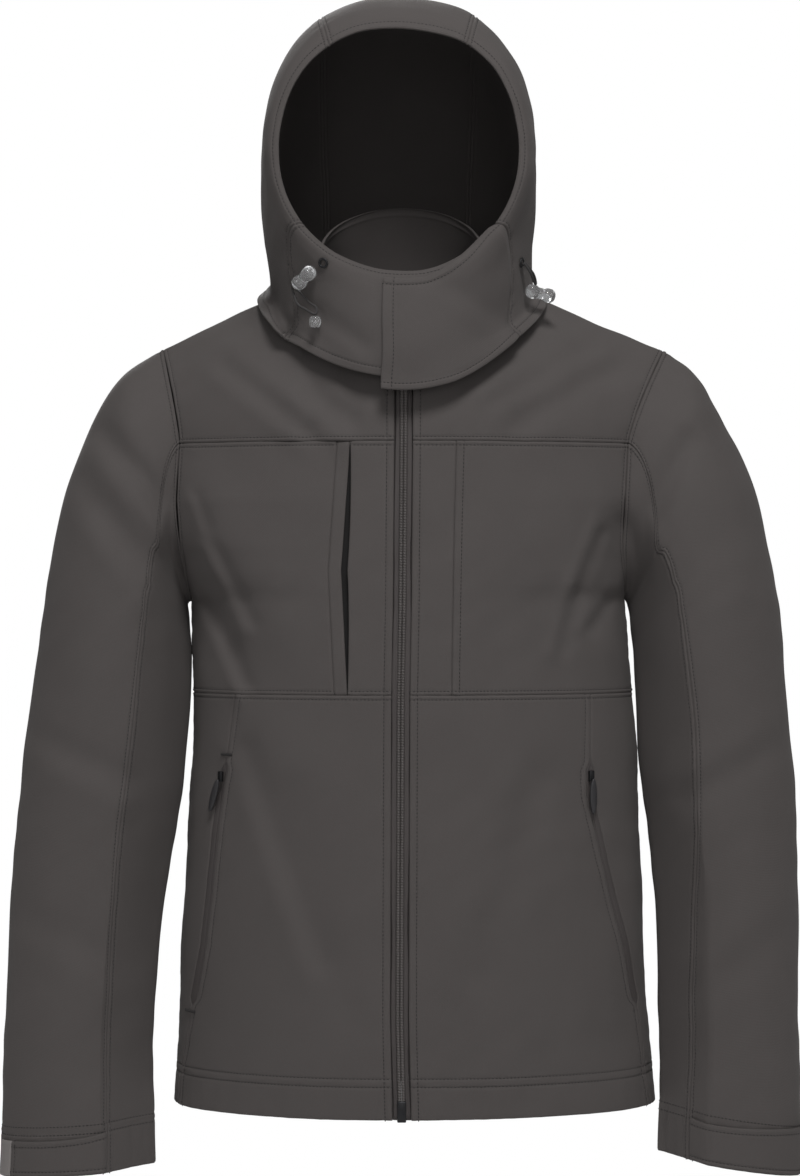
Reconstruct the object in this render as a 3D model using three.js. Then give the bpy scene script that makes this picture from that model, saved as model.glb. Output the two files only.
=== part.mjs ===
// Hooded softshell jacket, filled out and hollow. Millimetres, front towards -Y, Z up.
// The origin lies between the shoulders, level with the top of the shoulder seams.
import * as THREE from "three";

// Driving sizes
const WALL = 2.0;
const SEAM = 0.4;
const ARMHOLE_GAP = 0.8;
const ZIP_HALF = 7.6;
const TAPE_WALL = 1.2;
const TAPE_BACK = 0.5;
const CHAIN_HALF = 2.3;
const CHAIN_WALL = 1.3;
const TAB_WALL = 2.0;
const LIE = 0.8;
const YOKE_Z = -150;
const WAIST_Z = -366;
const NECK_COLUMN = 5 / 12;

const COLORS = {
  cloth: 0x4e4a49, hood: 0x4b4746, tape: 0x3b3736, chain: 0x484443,
  metal: 0x8c8a88, pull: 0x1c1b1b, clear: 0xd8d8d6, tab: 0x777372, cord: 0x2a2827,
};

// Torso sections: level, wearer's right and left edges, front and back depth at the middle
const TORSO = [
  { z: -725, right: -197.0, left: 224.0, front: -121, back: 116 },
  { z: -640, right: -194.0, left: 216.0, front: -124, back: 115 },
  { z: -550, right: -190.5, left: 212.5, front: -124, back: 112 },
  { z: -470, right: -186.0, left: 209.8, front: -122, back: 109 },
  { z: -418, right: -183.0, left: 208.0, front: -121, back: 109 },
  { z: -366, right: -181.5, left: 204.5, front: -120, back: 111 },
  { z: -325, right: -182.0, left: 201.5, front: -120, back: 115 },
  { z: -285, right: -182.5, left: 197.5, front: -119, back: 119 },
  { z: -262, right: -187.0, left: 194.8, front: -118, back: 120 },
  { z: -240, right: -191.0, left: 193.5, front: -117, back: 121 },
  { z: -200, right: -193.5, left: 194.0, front: -115, back: 121 },
  { z: -150, right: -190.5, left: 197.0, front: -111, back: 119 },
];

// Armhole depth by level: front and back edge, and how far the section bends there (degrees)
const ARMHOLE = [
  { z: -725, front: 0, back: 0, bend: 90 },
  { z: -285, front: 0, back: 0, bend: 90 },
  { z: -272, front: -24, back: 26, bend: 84 },
  { z: -262, front: -36, back: 40, bend: 79 },
  { z: -240, front: -48, back: 58, bend: 71 },
  { z: -200, front: -55, back: 68, bend: 62 },
  { z: -150, front: -50, back: 64, bend: 55 },
];

// Middle line of the front zip
const MIDDLE = [
  { z: -725, x: 1.6 }, { z: -640, x: -0.4 }, { z: -366, x: 0.6 },
  { z: -285, x: 2.0 }, { z: -100, x: 3.4 }, { z: 0, x: 3.4 },
];

const TIP = { right: [-209, 2, -64], left: [232, 2, -66] };
const NECK = {
  halfWidth: 84, pointY: -10, pointZ: -6, frontY: -98, frontZ: -74, backY: 78, backZ: 2,
};

// Hand-pocket seams on the lower front, by level
const POCKET_SEAM = [
  { z: -366, right: -141.0, left: 164.0 },
  { z: -405, right: -147.0, left: 162.8 },
  { z: -452, right: -155.6, left: 163.0 },
  { z: -526, right: -163.5, left: 180.6 },
  { z: -584, right: -170.0, left: 194.6 },
  { z: -640, right: -182.0, left: 206.0 },
  { z: -690, right: -189.0, left: 212.0 },
  { z: -725, right: -191.5, left: 217.5 },
];
const POCKET_ZIP = {
  top: -422, bottom: -636, shortHigh: 9, shortLow: 6, half: 3.2, inset: { right: 0.6, left: 1 },
};

// Chest seams, by level
const CHEST_SEAM = [
  { z: -366, right: -45.0, left: 44.0 },
  { z: -260, right: -50.0, left: 45.5 },
  { z: -150, right: -42.5, left: 48.0 },
];
const WELT_WIDTH = 11;
const CHEST_SLOT = { ends: 0.6, bow: 5, backing: 9, short: 3, backingWall: 1 };

// Sleeves: rings from the armhole to the cuff, outer and inner point, depth centre and half depth
const SLEEVE_RIGHT = [
  { xo: -243, zo: -88, xi: -187.5, zi: -289, yc: 3, deep: 66 },
  { xo: -270, zo: -128, xi: -187, zi: -298, yc: 2, deep: 68 },
  { xo: -291, zo: -180, xi: -185.5, zi: -312, yc: 0, deep: 68 },
  { xo: -302.5, zo: -233, xi: -184, zi: -330, yc: -2, deep: 67 },
  { xo: -313, zo: -292, xi: -183.2, zi: -355, yc: -4, deep: 65 },
  { xo: -323.5, zo: -365, xi: -184.8, zi: -395, yc: -6, deep: 62 },
  { xo: -330.5, zo: -426, xi: -189.2, zi: -440, yc: -8, deep: 60 },
  { xo: -336.5, zo: -485, xi: -196.2, zi: -490, yc: -10, deep: 57 },
  { xo: -340.5, zo: -550, xi: -206, zi: -550, yc: -12, deep: 54 },
  { xo: -343.5, zo: -612, xi: -213.5, zi: -612, yc: -15, deep: 51 },
  { xo: -346.5, zo: -680, xi: -216, zi: -678, yc: -18, deep: 48 },
  { xo: -348, zo: -740, xi: -215.5, zi: -734, yc: -21, deep: 45 },
  { xo: -349.5, zo: -786, xi: -214, zi: -777, yc: -23, deep: 43 },
];
const SLEEVE_LEFT = [
  { xo: 262, zo: -90, xi: 200, zi: -289, yc: 3, deep: 66 },
  { xo: 286, zo: -132, xi: 201.5, zi: -298, yc: 2, deep: 68 },
  { xo: 308, zo: -180, xi: 202.5, zi: -312, yc: 0, deep: 68 },
  { xo: 322, zo: -233, xi: 203.8, zi: -330, yc: -2, deep: 67 },
  { xo: 332, zo: -292, xi: 205.4, zi: -355, yc: -4, deep: 65 },
  { xo: 339, zo: -365, xi: 208.2, zi: -395, yc: -6, deep: 62 },
  { xo: 345, zo: -426, xi: 211.4, zi: -440, yc: -8, deep: 60 },
  { xo: 348, zo: -485, xi: 217.5, zi: -490, yc: -10, deep: 57 },
  { xo: 349, zo: -550, xi: 224, zi: -550, yc: -12, deep: 54 },
  { xo: 349, zo: -612, xi: 225.5, zi: -612, yc: -15, deep: 51 },
  { xo: 349, zo: -680, xi: 227.5, zi: -678, yc: -18, deep: 48 },
  { xo: 349.5, zo: -740, xi: 226.5, zi: -734, yc: -21, deep: 45 },
  { xo: 349.5, zo: -786, xi: 225.5, zi: -766, yc: -23, deep: 43 },
];
// Where the front sleeve seam runs, in degrees from the outer side, by ring
const SLEEVE_SEAM = {
  right: [175, 163, 128, 114, 112.5, 111.8, 111, 110.8, 110.8, 113.5, 115.8, 116.5, 115.5, 114.5],
  left: [184, 172, 128, 111, 110.2, 109.5, 108.2, 110, 113.8, 121.5, 123.5, 126, 126.8, 126.2],
};

// Hood rings from the face opening to the loose lower edge
const HOOD = [
  { frontY: -112, frontZ: -6, backY: -95, backZ: 203, half: 103, lift: 0 },
  { frontY: -119, frontZ: -12, backY: -78, backZ: 223, half: 111.5, lift: 0 },
  { frontY: -122, frontZ: -22, backY: -30, backZ: 238, half: 117.5, lift: 0 },
  { frontY: -124, frontZ: -36, backY: 45, backZ: 226, half: 119.5, lift: 0 },
  { frontY: -126, frontZ: -50, backY: 103, backZ: 166, half: 119.5, lift: 2 },
  { frontY: -127, frontZ: -63, backY: 127, backZ: 96, half: 117, lift: 6 },
  { frontY: -127, frontZ: -76, backY: 117, backZ: 30, half: 116, lift: 14 },
  { frontY: -126, frontZ: -88, backY: 106, backZ: -2, half: 121, lift: 28 },
  { frontY: -125, frontZ: -97, backY: 101, backZ: -18, half: 127, lift: 35.6 },
  { frontY: -125, frontZ: -108, backY: 100, backZ: -22, half: 128, lift: 44 },
];
const HOOD_MIDDLE = 2;
const HOOD_LEAN = { shift: -3, low: -15, high: 25 };
const CROWN_SEAM = { right: -149, left: 150 };
const CHIN_SEAM = 52;

// Inner collar: neckline ring to top ring
const COLLAR = [
  { frontY: -97, frontZ: -73, backY: 77, backZ: 2, half: 84, lift: 32 },
  { frontY: -98, frontZ: -56, backY: 73, backZ: 20, half: 81, lift: 20 },
  { frontY: -99, frontZ: -38, backY: 68, backZ: 40, half: 76, lift: 9 },
  { frontY: -100, frontZ: -20, backY: 62, backZ: 66, half: 71, lift: 0 },
];

// Largest folds: line from one point to the other in the front view, width and depth
const FOLDS = [
  { x0: -258, z0: -140, x1: -205, z1: -198, width: 15, deep: 7 },
  { x0: -272, z0: -168, x1: -222, z1: -222, width: 17, deep: -4 },
  { x0: 262, z0: -145, x1: 215, z1: -205, width: 16, deep: 6 },
  { x0: -185, z0: -250, x1: -150, z1: -330, width: 18, deep: 7 },
  { x0: 192, z0: -225, x1: 176, z1: -300, width: 17, deep: 7 },
  { x0: -160, z0: -205, x1: -110, z1: -300, width: 30, deep: -4 },
  { x0: -132, z0: -455, x1: -70, z1: -570, width: 34, deep: -4 },
  { x0: -125, z0: -62, x1: -45, z1: -128, width: 16, deep: 4 },
  { x0: 170, z0: -80, x1: 92, z1: -128, width: 20, deep: 3.5 },
];

const rad = (degrees) => (degrees * Math.PI) / 180;
const mix = (a, b, t) => a + (b - a) * t;
const clamp = (value, low, high) => Math.min(high, Math.max(low, value));
const vec = (x, y, z) => new THREE.Vector3(x, y, z);

// Smooth value of one column of a table at a row number
function atRow(table, column, row) {
  const i = clamp(Math.floor(row), 0, table.length - 2);
  const t = clamp(row - i, 0, 1);
  const value = (k) => table[clamp(k, 0, table.length - 1)][column];
  const [p0, p1, p2, p3] = [value(i - 1), value(i), value(i + 1), value(i + 2)];
  const bend = (2 * p0 - 5 * p1 + 4 * p2 - p3) * t * t + (3 * p1 - p0 - 3 * p2 + p3) * t ** 3;
  return p1 + 0.5 * ((p2 - p0) * t + bend);
}

// Straight value of one column at a level
function atLevel(table, column, z) {
  const rising = table[0].z < table[table.length - 1].z;
  const rows = rising ? table : [...table].reverse();
  let i = 0;
  while (i < rows.length - 2 && rows[i + 1].z < z) {
    i += 1;
  }
  const t = clamp((z - rows[i].z) / (rows[i + 1].z - rows[i].z), 0, 1);
  return mix(rows[i][column], rows[i + 1][column], t);
}

// How far the folds push the front in at a point of the front view
function foldDepth(x, z) {
  let depth = 0;
  for (const fold of FOLDS) {
    const along = vec(fold.x1 - fold.x0, 0, fold.z1 - fold.z0);
    const reach = along.lengthSq();
    const from = vec(x - fold.x0, 0, z - fold.z0);
    const t = clamp(from.dot(along) / reach, 0, 1);
    const away = from.sub(along.multiplyScalar(t)).length() / fold.width;
    depth += fold.deep * Math.exp(-away * away);
  }
  return depth;
}

// Torso point: wearer's side, front or back, level, and share of the way from middle to edge
function torsoPoint(side, face, z, share) {
  const middleX = atLevel(MIDDLE, "x", z);
  const bend = rad(atLevel(ARMHOLE, "bend", z));
  const across = Math.sin(share * bend) / Math.sin(bend);
  const round = (1 - Math.cos(share * bend)) / (1 - Math.cos(bend));
  const x = mix(middleX, atLevel(TORSO, side, z), across);
  const y = mix(atLevel(TORSO, face, z), atLevel(ARMHOLE, face, z), round);
  return folded(vec(x, y, z));
}

// Pushes a front point in by the folds
function folded(point) {
  if (point.y < 0) {
    point.y += foldDepth(point.x, point.z) * clamp(-point.y / 30, 0, 1);
  }
  return point;
}

// Share of the way from the middle to the edge at which a torso level reaches x
function shareAt(side, z, x) {
  const middleX = atLevel(MIDDLE, "x", z);
  const bend = rad(atLevel(ARMHOLE, "bend", z));
  const across = (x - middleX) / (atLevel(TORSO, side, z) - middleX);
  return Math.asin(clamp(across * Math.sin(bend), -1, 1)) / bend;
}

// Neckline point, turned from the middle of front or back towards the shoulder
function neckPoint(side, face, turn) {
  const sign = side === "left" ? 1 : -1;
  const front = face === "front";
  const x = atLevel(MIDDLE, "x", 0) + sign * NECK.halfWidth * Math.sin(turn);
  const y = mix(NECK.pointY, front ? NECK.frontY : NECK.backY, Math.cos(turn));
  const z = mix(NECK.pointZ, front ? NECK.frontZ : NECK.backZ, Math.cos(turn));
  return vec(x, y, z);
}

// Yoke point: from the yoke level (t 0) to neckline and shoulder seam (t 1)
function yokePoint(side, face, t, across, start) {
  const low = torsoPoint(side, face, YOKE_Z, mix(start, 1, across));
  let top;
  if (across < NECK_COLUMN) {
    const first = start > 0 ? Math.asin((ZIP_HALF + SEAM) / NECK.halfWidth) : 0;
    top = neckPoint(side, face, mix(first, Math.PI / 2, across / NECK_COLUMN));
  } else {
    const end = vec(...TIP[side]);
    top = neckPoint(side, face, Math.PI / 2);
    top.lerp(end, (across - NECK_COLUMN) / (1 - NECK_COLUMN));
  }
  const x = mix(low.x, top.x, t ** 1.3);
  const y = mix(low.y, top.y, t ** 2.2);
  return folded(vec(x, y, mix(YOKE_Z, top.z, t)));
}

// Armhole edge of the torso at a height between underarm and shoulder tip
function armholeEdge(side, face, z) {
  if (z > YOKE_Z) {
    return yokePoint(side, face, (z - YOKE_Z) / (TIP[side][2] - YOKE_Z), 1, 0);
  }
  return torsoPoint(side, face, z, 1);
}

// Levels of the rows along the armhole, underarm first
const UNDERARM_Z = -285;
const ARM_LEVELS = [UNDERARM_Z, -278, -270, -262, -251, -240, -220, -200, -175, YOKE_Z];
const YOKE_ROWS = 6;

// Sleeve ring point: 0 degrees on the outer side, 90 at the front, 180 on the inner side
function ringPoint(ring, degrees) {
  const cos = Math.cos(rad(degrees));
  const x = mix(ring.xi, ring.xo, (1 + cos) / 2);
  const z = mix(ring.zi, ring.zo, (1 + cos) / 2);
  return vec(x, ring.yc - ring.deep * Math.sin(rad(degrees)), z);
}

// Sleeve point by column of a piece and by ring; ring 0 lies on the armhole
function sleevePoint(side, columns, u, ring) {
  const table = side === "right" ? SLEEVE_RIGHT : SLEEVE_LEFT;
  const sign = side === "right" ? -1 : 1;
  const at = clamp(u, 0, 1) * (columns.length - 1);
  const k = Math.min(Math.floor(at), columns.length - 2);
  const start = columns[k].edge.clone().lerp(columns[k + 1].edge, at - k);
  start.x += sign * ARMHOLE_GAP;
  const seam = atRow(SLEEVE_SEAM[side].map((value) => ({ value })), "value", ring);
  const spread = mix(columns[0].from(seam), columns[0].to(seam), clamp(u, 0, 1));
  const near = mix(columns[k].angle, columns[k + 1].angle, at - k);
  const degrees = mix(near, spread, clamp(ring / 3, 0, 1));
  const i = clamp(Math.floor(ring), 0, table.length - 1);
  const t = ring - i;
  const knot = (n) => (n <= 0 ? start : ringPoint(table[Math.min(n, table.length) - 1], degrees));
  const [p0, p1, p2, p3] = [knot(i - 1), knot(i), knot(i + 1), knot(i + 2)];
  const axis = (a) => {
    const bend = (2 * p0[a] - 5 * p1[a] + 4 * p2[a] - p3[a]) * t * t;
    const twist = (3 * p1[a] - p0[a] - 3 * p2[a] + p3[a]) * t ** 3;
    return p1[a] + 0.5 * ((p2[a] - p0[a]) * t + bend + twist);
  };
  const point = vec(axis("x"), axis("y"), axis("z"));
  return ring < 0.01 ? point : point.lerp(folded(point.clone()), clamp(ring, 0, 1));
}

// Columns of the upper or under sleeve, with the armhole point and its angle
function sleeveColumns(side, upper) {
  const low = UNDERARM_Z;
  const middle = (low + TIP[side][2]) / 2;
  const half = (TIP[side][2] - low) / 2;
  const angleAt = (z) => (Math.acos(clamp((z - middle) / half, -1, 1)) * 180) / Math.PI;
  const column = (face, z) => {
    const angle = face === "front" ? angleAt(z) : 360 - angleAt(z);
    const turned = upper && face === "back" ? angle - 360 : angle;
    return { edge: armholeEdge(side, face, z), angle: turned };
  };
  let columns;
  if (upper) {
    const heights = Array.from({ length: YOKE_ROWS + 1 },
      (_, k) => mix(YOKE_Z, TIP[side][2], k / YOKE_ROWS));
    const front = heights.map((z) => column("front", z));
    const back = heights.slice(0, -1).reverse().map((z) => column("back", z));
    columns = [...front, ...back];
  } else {
    const front = [...ARM_LEVELS].reverse().map((z) => column("front", z));
    const back = ARM_LEVELS.slice(1).map((z) => column("back", z));
    columns = [...front, ...back];
  }
  columns[0].from = (seam) => seam;
  columns[0].to = (seam) => (upper ? -seam : 360 - seam);
  return columns;
}

// Ring point of hood or collar: 0 degrees at the front, positive towards the wearer's left
function loopPoint(table, degrees, row, square) {
  const value = (column) => atRow(table, column, row);
  const sin = Math.sin(rad(degrees));
  const cos = Math.cos(rad(degrees));
  const width = Math.abs(sin) ** (cos < 0 ? square : 1);
  const back = (1 - cos) / 2;
  const x = HOOD_MIDDLE + value("half") * Math.sign(sin) * width;
  const z = mix(value("frontZ"), value("backZ"), back) + value("lift") * sin * sin;
  return vec(x, mix(value("frontY"), value("backY"), back), z);
}

function hoodPoint(degrees, row) {
  const point = loopPoint(HOOD, degrees, row, 0.82);
  const rise = clamp((point.z - HOOD_LEAN.low) / (HOOD_LEAN.high - HOOD_LEAN.low), 0, 1);
  return point.add(vec(HOOD_LEAN.shift * rise, 0, 0));
}

const jacket = new THREE.Group();
jacket.name = "softshell_jacket";

const FINISH = {
  cloth: { roughness: 0.85, metalness: 0 }, hood: { roughness: 0.85, metalness: 0 },
  tape: { roughness: 0.8, metalness: 0 }, chain: { roughness: 0.5, metalness: 0 },
  metal: { roughness: 0.35, metalness: 1 }, pull: { roughness: 0.5, metalness: 0 },
  clear: { roughness: 0.15, metalness: 0 }, tab: { roughness: 0.8, metalness: 0 },
  cord: { roughness: 0.8, metalness: 0 },
};

// Adds one closed body from its corners and triangles, facing out
function addBody(name, look, corners, triangles) {
  let volume = 0;
  for (const [a, b, c] of triangles) {
    volume += corners[a].dot(corners[b].clone().cross(corners[c]));
  }
  const index = volume > 0 ? triangles.flat() : triangles.flatMap(([a, b, c]) => [a, c, b]);
  const geometry = new THREE.BufferGeometry();
  geometry.setAttribute("position",
    new THREE.Float32BufferAttribute(corners.flatMap((p) => [p.x, p.y, p.z]), 3));
  geometry.setIndex(index);
  geometry.computeVertexNormals();
  const material = new THREE.MeshStandardMaterial({ color: COLORS[look], ...FINISH[look] });
  const mesh = new THREE.Mesh(geometry, material);
  mesh.name = name;
  jacket.add(mesh);
}

// Adds a wall over point(u, v); lift moves it out, and each drawn-in edge leaves a seam gap
function addPatch(name, look, point, size, options = {}) {
  const { wall = WALL, lift = 0, drawn = [0, 0, 0, 0], centre, flat = false, ridge } = options;
  const [nu, nv] = size;
  const us = options.us ?? Array.from({ length: nu + 1 }, (_, k) => k / nu);
  const vs = options.vs ?? Array.from({ length: nv + 1 }, (_, k) => k / nv);
  const step = 0.004;
  const skin = us.map((u) => vs.map((v) => point(u, v)));
  const normals = us.map((u) => vs.map((v) => {
    const du = point(Math.min(u + step, 1), v).sub(point(Math.max(u - step, 0), v));
    const dv = point(u, Math.min(v + step, 1)).sub(point(u, Math.max(v - step, 0)));
    const normal = du.cross(dv);
    if (flat && v === 0) {
      normal.x = 0;
    }
    if (ridge && v === 1 && ridge(u)) {
      normal.y = 0;
    }
    return normal.normalize();
  }));
  let facing = 0;
  skin.forEach((column, i) => column.forEach((p, j) => {
    facing += normals[i][j].dot(p.clone().sub(centre(us[i], vs[j])));
  }));
  const out = facing > 0 ? 1 : -1;
  const pull = (p, q, gap) => p.clone().add(q.clone().sub(p).setLength(gap));
  const last = [us.length - 1, vs.length - 1];
  for (let j = 0; j <= last[1]; j += 1) {
    skin[0][j] = pull(skin[0][j], skin[1][j], drawn[0]);
    skin[last[0]][j] = pull(skin[last[0]][j], skin[last[0] - 1][j], drawn[1]);
  }
  for (let i = 0; i <= last[0]; i += 1) {
    skin[i][0] = pull(skin[i][0], skin[i][1], drawn[2]);
    skin[i][last[1]] = pull(skin[i][last[1]], skin[i][last[1] - 1], drawn[3]);
  }
  const liftAt = typeof lift === "function" ? lift : () => lift;
  const corners = [];
  skin.forEach((column, i) => column.forEach((p, j) => {
    const normal = normals[i][j].clone().multiplyScalar(out);
    const height = liftAt(us[i], vs[j]);
    corners.push(p.clone().addScaledVector(normal, height));
    corners.push(p.clone().addScaledVector(normal, height - wall));
  }));
  const at = (i, j, inner) => 2 * (i * (last[1] + 1) + j) + inner;
  const triangles = [];
  const quad = (a, b, c, d) => triangles.push([a, b, c], [a, c, d]);
  for (let i = 0; i < last[0]; i += 1) {
    for (let j = 0; j < last[1]; j += 1) {
      quad(at(i, j, 0), at(i + 1, j, 0), at(i + 1, j + 1, 0), at(i, j + 1, 0));
      quad(at(i, j, 1), at(i, j + 1, 1), at(i + 1, j + 1, 1), at(i + 1, j, 1));
    }
    quad(at(i, 0, 0), at(i, 0, 1), at(i + 1, 0, 1), at(i + 1, 0, 0));
    quad(at(i, last[1], 0), at(i + 1, last[1], 0), at(i + 1, last[1], 1), at(i, last[1], 1));
  }
  for (let j = 0; j < last[1]; j += 1) {
    quad(at(0, j, 0), at(0, j + 1, 0), at(0, j + 1, 1), at(0, j, 1));
    quad(at(last[0], j, 0), at(last[0], j, 1), at(last[0], j + 1, 1), at(last[0], j + 1, 0));
  }
  addBody(name, look, corners, triangles);
}

const TORSO_CENTRE = (z) => vec(6, 0, z);
const SIDES = { right: -1, left: 1 };
const SHORT = { right: "r", left: "l" };

// Front panel between two lines of the front view, given as x by level
function addFront(name, side, levels, startX, endX, nu, drawn) {
  const low = levels[0];
  const high = levels[levels.length - 1];
  const share = (line, z) => (line === null ? 1 : shareAt(side, z, line(z)));
  addPatch(name, "cloth", (u, v) => {
    const z = mix(low, high, v);
    return torsoPoint(side, "front", z, mix(share(startX, z), share(endX, z), u));
  }, [nu, 1], {
    vs: levels.map((z) => (z - low) / (high - low)),
    drawn: drawn.map((gap) => (gap * SEAM) / 2),
    centre: (u, v) => TORSO_CENTRE(mix(low, high, v)),
  });
}

const zipEdge = (side) => (z) => atLevel(MIDDLE, "x", z) + SIDES[side] * (ZIP_HALF + SEAM);
const pocketGap = (z) => (z < POCKET_ZIP.top && z > POCKET_ZIP.bottom ? POCKET_ZIP.half : 0);
const pocketEdge = (side, away) => (z) =>
  atLevel(POCKET_SEAM, side, z) + SIDES[side] * away * pocketGap(z);
const LOW_LEVELS = [-725, -690, -640, -632, -584, -526, -489, -452, -430, -418, -405, WAIST_Z];
const CHEST_LEVELS = [WAIST_Z, -345, -325, -305, ...ARM_LEVELS];

for (const side of Object.keys(SIDES)) {
  const tag = SHORT[side];
  addFront(`lower_front_${tag}`, side, LOW_LEVELS, zipEdge(side), pocketEdge(side, -1), 8,
    [0, 1, 0, 1]);
  addFront(`side_front_${tag}`, side, LOW_LEVELS, pocketEdge(side, 1), null, 4, [1, 1, 0, 1]);

  const seam = (z) => atLevel(CHEST_SEAM, side, z);
  if (side === "right") {
    const bow = (z) => Math.sin((Math.PI * (z - WAIST_Z)) / (YOKE_Z - WAIST_Z));
    const slotEdge = (z) => seam(z) + CHEST_SLOT.ends + CHEST_SLOT.bow * bow(z);
    const weltEdge = (z) => seam(z) - WELT_WIDTH;
    addFront("chest_inner_r", side, CHEST_LEVELS, zipEdge(side), slotEdge, 3, [0, 0, 1, 1]);
    addFront("chest_pocket_welt_r", side, CHEST_LEVELS, seam, weltEdge, 1, [0, 1, 1, 1]);
    addFront("chest_outer_r", side, CHEST_LEVELS, weltEdge, null, 8, [1, 1, 1, 1]);
    addPatch("chest_pocket_back_r", "cloth", (u, v) => {
      const z = mix(WAIST_Z + CHEST_SLOT.short, YOKE_Z - CHEST_SLOT.short, v);
      const x = mix(seam(z) - CHEST_SLOT.backing, slotEdge(z) + CHEST_SLOT.backing, u);
      return torsoPoint(side, "front", z, shareAt(side, z, x));
    }, [3, 10], {
      wall: CHEST_SLOT.backingWall,
      lift: -WALL - LIE,
      centre: (u, v) => TORSO_CENTRE(mix(WAIST_Z, YOKE_Z, v)),
    });
  } else {
    addFront("chest_inner_l", side, CHEST_LEVELS, zipEdge(side), seam, 3, [0, 1, 1, 1]);
    addFront("chest_outer_l", side, CHEST_LEVELS, seam, null, 8, [1, 1, 1, 1]);
  }

  const start = shareAt(side, YOKE_Z, zipEdge(side)(YOKE_Z));
  addPatch(`front_yoke_${tag}`, "cloth", (u, v) => yokePoint(side, "front", v, u, start),
    [12, YOKE_ROWS], {
      drawn: [0, 0, SEAM / 2, SEAM / 2],
      ridge: (u) => u >= NECK_COLUMN - 0.01,
      centre: (u, v) => TORSO_CENTRE(mix(YOKE_Z, -60, v) - 20),
    });
}

// Back: one piece from hem to shoulder seams, from side seam to side seam
const BACK_LEVELS = [-725, -660, -590, -520, -450, -400, ...CHEST_LEVELS];
const backRows = BACK_LEVELS.length - 1;
const backShare = (u) => Math.abs(2 * u - 1);
addPatch("back", "cloth", (u, v) => {
  const side = u < 0.5 ? "right" : "left";
  const row = v * (backRows + YOKE_ROWS);
  if (row > backRows) {
    return yokePoint(side, "back", (row - backRows) / YOKE_ROWS, backShare(u), 0);
  }
  const k = Math.min(Math.floor(row), backRows - 1);
  return torsoPoint(side, "back", mix(BACK_LEVELS[k], BACK_LEVELS[k + 1], row - k), backShare(u));
}, [24, backRows + YOKE_ROWS], {
  drawn: [SEAM / 2, SEAM / 2, 0, SEAM / 2],
  ridge: (u) => backShare(u) >= NECK_COLUMN - 0.01,
  centre: (u, v) => TORSO_CENTRE(mix(-725, -90, v)),
});

// Sleeves, with a tab at each cuff: its rings, and its ends as shares across the upper sleeve
const SLEEVE_ROWS = 17;
const CUFF_TAB = {
  start: 0.01,
  gap: 0.005,
  tip: 0.08,
  rise: 0.13,
  right: { low: 12.27, high: 12.95, end: 0.34 },
  left: { low: 12.07, high: 12.95, end: 0.468 },
};
for (const side of Object.keys(SIDES)) {
  const table = side === "right" ? SLEEVE_RIGHT : SLEEVE_LEFT;
  const rings = table.length;
  const heart = (v) => {
    const ring = table[Math.max(Math.round(v * rings) - 1, 0)];
    return vec((ring.xo + ring.xi) / 2, ring.yc, (ring.zo + ring.zi) / 2);
  };
  for (const part of ["upper", "under"]) {
    const columns = sleeveColumns(side, part === "upper");
    addPatch(`sleeve_${part}_${SHORT[side]}`, "cloth",
      (u, v) => sleevePoint(side, columns, u, v * rings), [columns.length - 1, SLEEVE_ROWS],
      { drawn: [SEAM / 2, SEAM / 2, 0, 0], flat: true, centre: (u, v) => heart(v) });
  }
  const columns = sleeveColumns(side, true);
  const cuff = CUFF_TAB[side];
  const addTab = (name, look, from, to, columnCount) => {
    const low = (share) => cuff.low - CUFF_TAB.rise * Math.exp(-share / 0.08);
    addPatch(`${name}_${SHORT[side]}`, look, (u, v) => {
      const share = mix(from, to, u);
      return sleevePoint(side, columns, share, mix(low(share), cuff.high, v));
    }, [columnCount, 2], { wall: TAB_WALL, lift: LIE + TAB_WALL, centre: () => heart(1) });
  };
  addTab("cuff_tab", "cloth", CUFF_TAB.start, cuff.end, 8);
  addTab("cuff_tab_end", "tab", cuff.end + CUFF_TAB.gap, cuff.end + CUFF_TAB.gap + CUFF_TAB.tip, 2);
}

// Hood
const HOOD_END = 8;
const HOOD_ROWS = 14;
const hoodCentre = () => vec(HOOD_MIDDLE, 0, 60);
function addHood(name, from, to, size, drawn) {
  addPatch(name, "hood", (u, v) => hoodPoint(mix(from, to, u), v * HOOD_END), size,
    { drawn: drawn.map((gap) => (gap * SEAM) / 2), centre: hoodCentre });
}
const CHIN_UNDER = 44;
addHood("hood_centre", CROWN_SEAM.left, 360 + CROWN_SEAM.right, [8, HOOD_ROWS], [1, 1, 0, 0]);
addHood("hood_side_r", CROWN_SEAM.right, -CHIN_SEAM, [9, HOOD_ROWS], [1, 1, 0, 0]);
addHood("hood_side_l", CHIN_SEAM, CROWN_SEAM.left, [9, HOOD_ROWS], [1, 1, 0, 0]);
addHood("hood_chin_r", -CHIN_SEAM, CHIN_UNDER, [10, HOOD_ROWS], [1, 0, 0, 0]);

// Chin flap: lies over the chin piece and joins the left side of the hood
const FLAP_TIP = -8;
const FLAP_LIE = 1.6;
const flapTop = (degrees) => 1.3 * clamp((CHIN_UNDER - degrees) / 34, 0, 1);
const flapFoot = (degrees) => HOOD_END + clamp((CHIN_SEAM - degrees) / 32, 0, 1);
const flapAngle = (u) => mix(FLAP_TIP, CHIN_SEAM, u);
addPatch("hood_flap_l", "hood", (u, v) => {
  const degrees = flapAngle(u);
  return hoodPoint(degrees, mix(flapTop(degrees), flapFoot(degrees), v));
}, [1, HOOD_ROWS], {
  us: [0, 0.1, 0.25, 0.4, 0.55, 0.7, 0.8, 0.88, 0.93, 1],
  drawn: [0, SEAM / 2, 0, 0],
  lift: (u) => (WALL + FLAP_LIE) * clamp((CHIN_SEAM - flapAngle(u)) / 4, 0, 1),
  centre: hoodCentre,
});

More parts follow.
